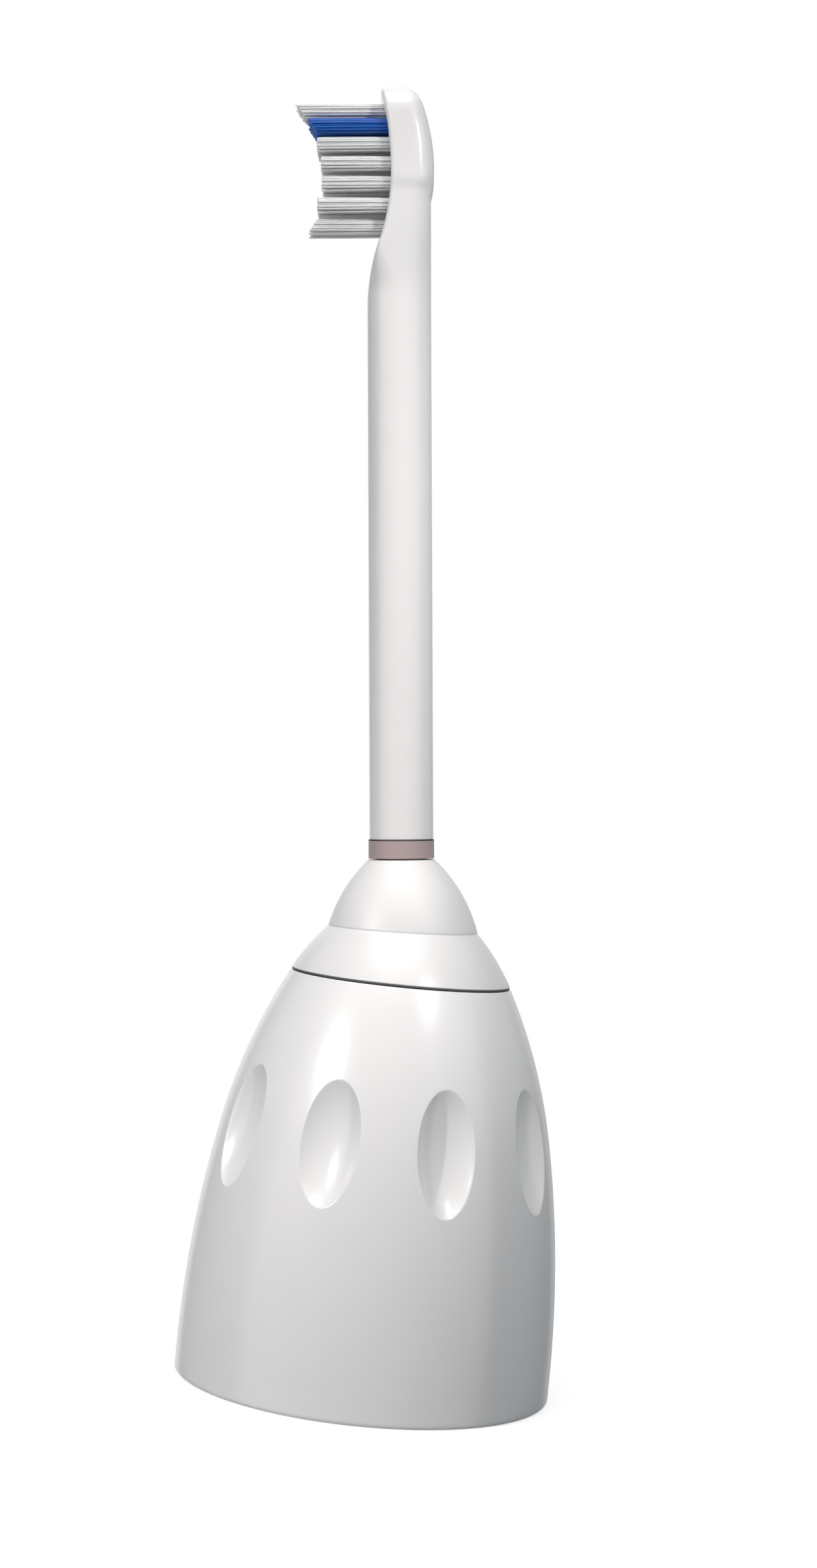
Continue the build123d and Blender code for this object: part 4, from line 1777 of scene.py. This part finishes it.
@dataclass
class InnerWorks:
    """Pieces of the drive train, shown as the solids that they are."""

    nodes: dict[str, bpy.types.Object]
    finishes: dict[str, Finish] = field(
        default_factory=lambda: {
            "mounting_cup": CUP_SATIN,
            "thrust_washer": WASHER_PAINTED_SHADE,
            "hub_carrier": HUB_FILLED,
            "drive_yoke": HUB_FILLED,
            "torsion_pin": STEEL_DRAWN,
            "v_spring": STEEL_DRAWN,
            "back_iron": STEEL_PLATED,
            "magnet_left": NICKEL,
            "magnet_right": NICKEL,
            "tuft_anchors": BRASS,
        }
    )

    def build(self) -> None:
        """Gives each solid its finish."""
        for name, finish in self.finishes.items():
            piece = self.nodes[name]
            if piece.material_slots:
                piece.material_slots[0].material = finish.material
            else:
                piece.data.materials.append(finish.material)
            LOG.info("%s: %s", name, finish.name)


@dataclass(frozen=True)
class Lamp:
    """One round lamp, aimed at the object; its spread is in degrees and the rest in metres and watts."""

    name: str
    direction: Triple
    distance: float
    size: float
    power: float
    colour: Colour = (1, 1, 1)
    mirrored: bool = True
    spread: float = 180.0
    aim: Triple = (0, 0, 0.048)

    def build(self) -> None:
        """Puts the lamp into the scene."""
        data = bpy.data.lights.new(self.name, "AREA")
        data.shape = "DISK"
        data.size = self.size
        data.spread = math.radians(self.spread)
        data.energy = self.power
        data.color = self.colour
        lamp = link(bpy.data.objects.new(self.name, data))
        away = Vector(self.direction).normalized()
        lamp.location = Vector(self.aim) + away * self.distance
        lamp.rotation_euler = away.to_track_quat("Z", "Y").to_euler()
        lamp.visible_glossy = self.mirrored


@dataclass(frozen=True)
class Card:
    """Upright card beside the object, in metres, which darkens one side of what the gloss mirrors."""

    name: str
    start: tuple[float, float]
    end: tuple[float, float]
    height: float
    colour: Colour

    def build(self) -> None:
        """Puts the card into the scene, hidden from the camera."""
        low = [(*self.start, -self.height), (*self.end, -self.height)]
        high = [(*self.end, self.height), (*self.start, self.height)]
        mesh = bpy.data.meshes.new(self.name)
        mesh.from_pydata([*low, *high], [], [(0, 1, 2, 3)])
        card = link(bpy.data.objects.new(self.name, mesh))
        material, graph, shader = node_material(self.name)
        looks = {"Base Color": (0, 0, 0, 1), "Specular IOR Level": 0.0}
        looks |= {"Emission Color": (*self.colour, 1), "Emission Strength": 1.0}
        graph.feed(shader, looks)
        mesh.materials.append(material)
        card.visible_camera = False
        card.visible_shadow = False


LAMPS = (
    Lamp(
        "key_left",
        direction=(-0.3204, -0.2556, 0.2217),
        distance=0.466,
        size=0.012,
        power=0.0524,
        colour=(1.0, 0.965, 0.945),
        spread=48.0,
        aim=(0, 0, 0.012),
    ),
    Lamp(
        "key_right",
        direction=(0.372, -0.496, 0.785),
        distance=0.1542,
        size=0.012,
        power=0.0053,
        colour=(1.0, 0.97, 0.95),
        spread=64.0,
        aim=(0.003, -0.0085, 0.025),
    ),
    Lamp("top_soft", (-0.1, -0.25, 1.0), distance=1.0, size=0.83, power=6.6, colour=(1.0, 0.94, 0.89)),
    Lamp(
        "neck_key",
        direction=(0.532, -0.766, 0.36),
        distance=0.3,
        size=0.02,
        power=0.0066,
        colour=(1.0, 0.98, 0.97),
        mirrored=False,
        spread=24.0,
        aim=(-0.004, 0, 0.074),
    ),
    Lamp(
        "back_glint",
        direction=(0.532, -0.766, 0.36),
        distance=0.3,
        size=0.012,
        power=0.00012,
        spread=7.0,
        aim=(-0.004, -0.003, 0.0975),
    ),
    Lamp(
        "edge_glint",
        direction=(-0.87, -0.48, 0.15),
        distance=0.35,
        size=0.02,
        power=0.0001,
        spread=6.5,
        aim=(-0.008, 0, 0.0975),
    ),
    Lamp("back_fill", (0, 1, 0.06), distance=0.7, size=0.35, power=3.0, mirrored=False),
)
CARDS = (
    Card("card_right", (0.35, -0.08), (0.35, 0.6), 0.6, (0.17, 0.21, 0.24)),
    Card("card_back_right", (0.35, 0.6), (0.04, 0.6), 0.6, (0.6, 0.6, 0.6)),
    Card("card_left", (-0.35, -0.08), (-0.35, 0.6), 0.6, (0.17, 0.2, 0.23)),
)


@dataclass
class Studio:
    """Camera, lamps, pale floor and white surroundings.

    The floor is lit and shaded near the object and fades to plain white away from it. Its half width and
    the camera's near end are in metres.
    """

    camera_distance: float = 206.0
    camera_height: float = 48.06
    camera_side: float = -0.93
    camera_near: float = 0.005
    roll: float = 5.67
    focal_pixels: float = 3925.3
    picture_height: float = 2400.0
    sensor: float = 36.0
    floor_half: float = 3.0
    floor_grey: float = 0.4
    floor_glow: float = 0.7
    floor_roughness: float = 0.9
    fade_start: float = 30.0
    fade_width: float = 50.0
    ambient: Colour = (0.1, 0.126, 0.15)

    def build_camera(self) -> None:
        """Makes the camera at the picture's viewing angle."""
        data = bpy.data.cameras.new("picture_camera")
        data.sensor_fit = "VERTICAL"
        data.sensor_height = self.sensor
        data.lens = self.sensor * self.focal_pixels / self.picture_height
        data.clip_start = self.camera_near
        camera = link(bpy.data.objects.new("picture_camera", data))
        lean = math.radians(self.roll)
        right = Vector((math.cos(lean), 0, math.sin(lean)))
        up = Vector((-math.sin(lean), 0, math.cos(lean)))
        back = Vector((0, -1, 0))
        place = Vector((self.camera_side, -self.camera_distance, self.camera_height)) * MM
        camera.matrix_world = Matrix.Translation(place) @ Matrix((right, up, back)).transposed().to_4x4()
        bpy.context.scene.camera = camera

    @staticmethod
    def seen(graph: Graph) -> Wire:
        """Picks the rays that show the background.

        Args:
            graph: The node graph that asks.

        Returns:
            One for rays straight from the camera, mirrored or through glass, else zero.
        """
        path = graph.node("ShaderNodeLightPath")
        kinds = ("Is Camera Ray", "Is Glossy Ray", "Is Transmission Ray")
        camera, glossy, transmission = (Wire(graph, path.outputs[kind]) for kind in kinds)
        return camera.at_least(glossy).at_least(transmission)

    def build_world(self) -> None:
        """Makes white surroundings that light the object at a plain level."""
        world = bpy.data.worlds.new("surroundings")
        world.use_nodes = True
        bpy.context.scene.world = world
        graph = Graph(world.node_tree)
        colour = graph.mix(self.seen(graph), (*self.ambient, 1), (1, 1, 1, 1))
        graph.feed(graph.find("BACKGROUND"), {"Color": colour})

    def build_floor(self) -> None:
        """Makes a pale floor that keeps the object's shadow."""
        half = self.floor_half
        corners = [(-half, -half, 0), (half, -half, 0), (half, half, 0), (-half, half, 0)]
        mesh = bpy.data.meshes.new("floor")
        mesh.from_pydata(corners, [], [(0, 1, 2, 3)])
        floor = link(bpy.data.objects.new("floor", mesh))
        material, graph, shader = node_material("floor_white")
        grey, glow = [self.floor_grey] * 3, [self.floor_glow] * 3
        looks = {"Base Color": (*grey, 1), "Roughness": self.floor_roughness, "Specular IOR Level": 0.0}
        looks["Emission Color"] = graph.mix(self.seen(graph), (0, 0, 0, 1), (*glow, 1))
        looks["Emission Strength"] = 1.0
        graph.feed(shader, looks)
        x, y, _ = graph.parts(graph.place())
        far = ((x * x + y * y) ** 0.5 - self.fade_start * MM) / (self.fade_width * MM)
        white = graph.wire("ShaderNodeEmission", None, {"Color": (1, 1, 1, 1), "Strength": 1.0})
        near = Wire(graph, shader.outputs[0])
        share = far.at_least(0.0).at_most(1.0) * self.seen(graph)
        faded = graph.wire("ShaderNodeMixShader", None, {0: share, 1: near, 2: white})
        graph.feed(graph.find("OUTPUT_MATERIAL"), {"Surface": faded})
        mesh.materials.append(material)
        floor.visible_glossy = False

    def build(self) -> None:
        """Sets up the studio."""
        bpy.context.scene.view_settings.view_transform = "Standard"
        self.build_camera()
        self.build_world()
        self.build_floor()
        for item in (*LAMPS, *CARDS):
            item.build()


def main() -> None:
    """Builds every piece in order."""
    logging.basicConfig(level=logging.INFO, format="%(name)s %(message)s")
    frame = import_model()
    bell, arm = Bell(), ArmFrame()
    nut, collar, head = GripNut(bell), Collar(bell), BrushArm(arm)
    pieces = [
        nut,
        NutThread(nut),
        collar,
        SealBoot(arm, collar),
        IdRing(arm),
        head,
        Bristles(head),
        InnerWorks(frame["nodes"]),
        Studio(),
    ]
    for piece in pieces:
        piece.build()


if __name__ == "__main__":
    main()
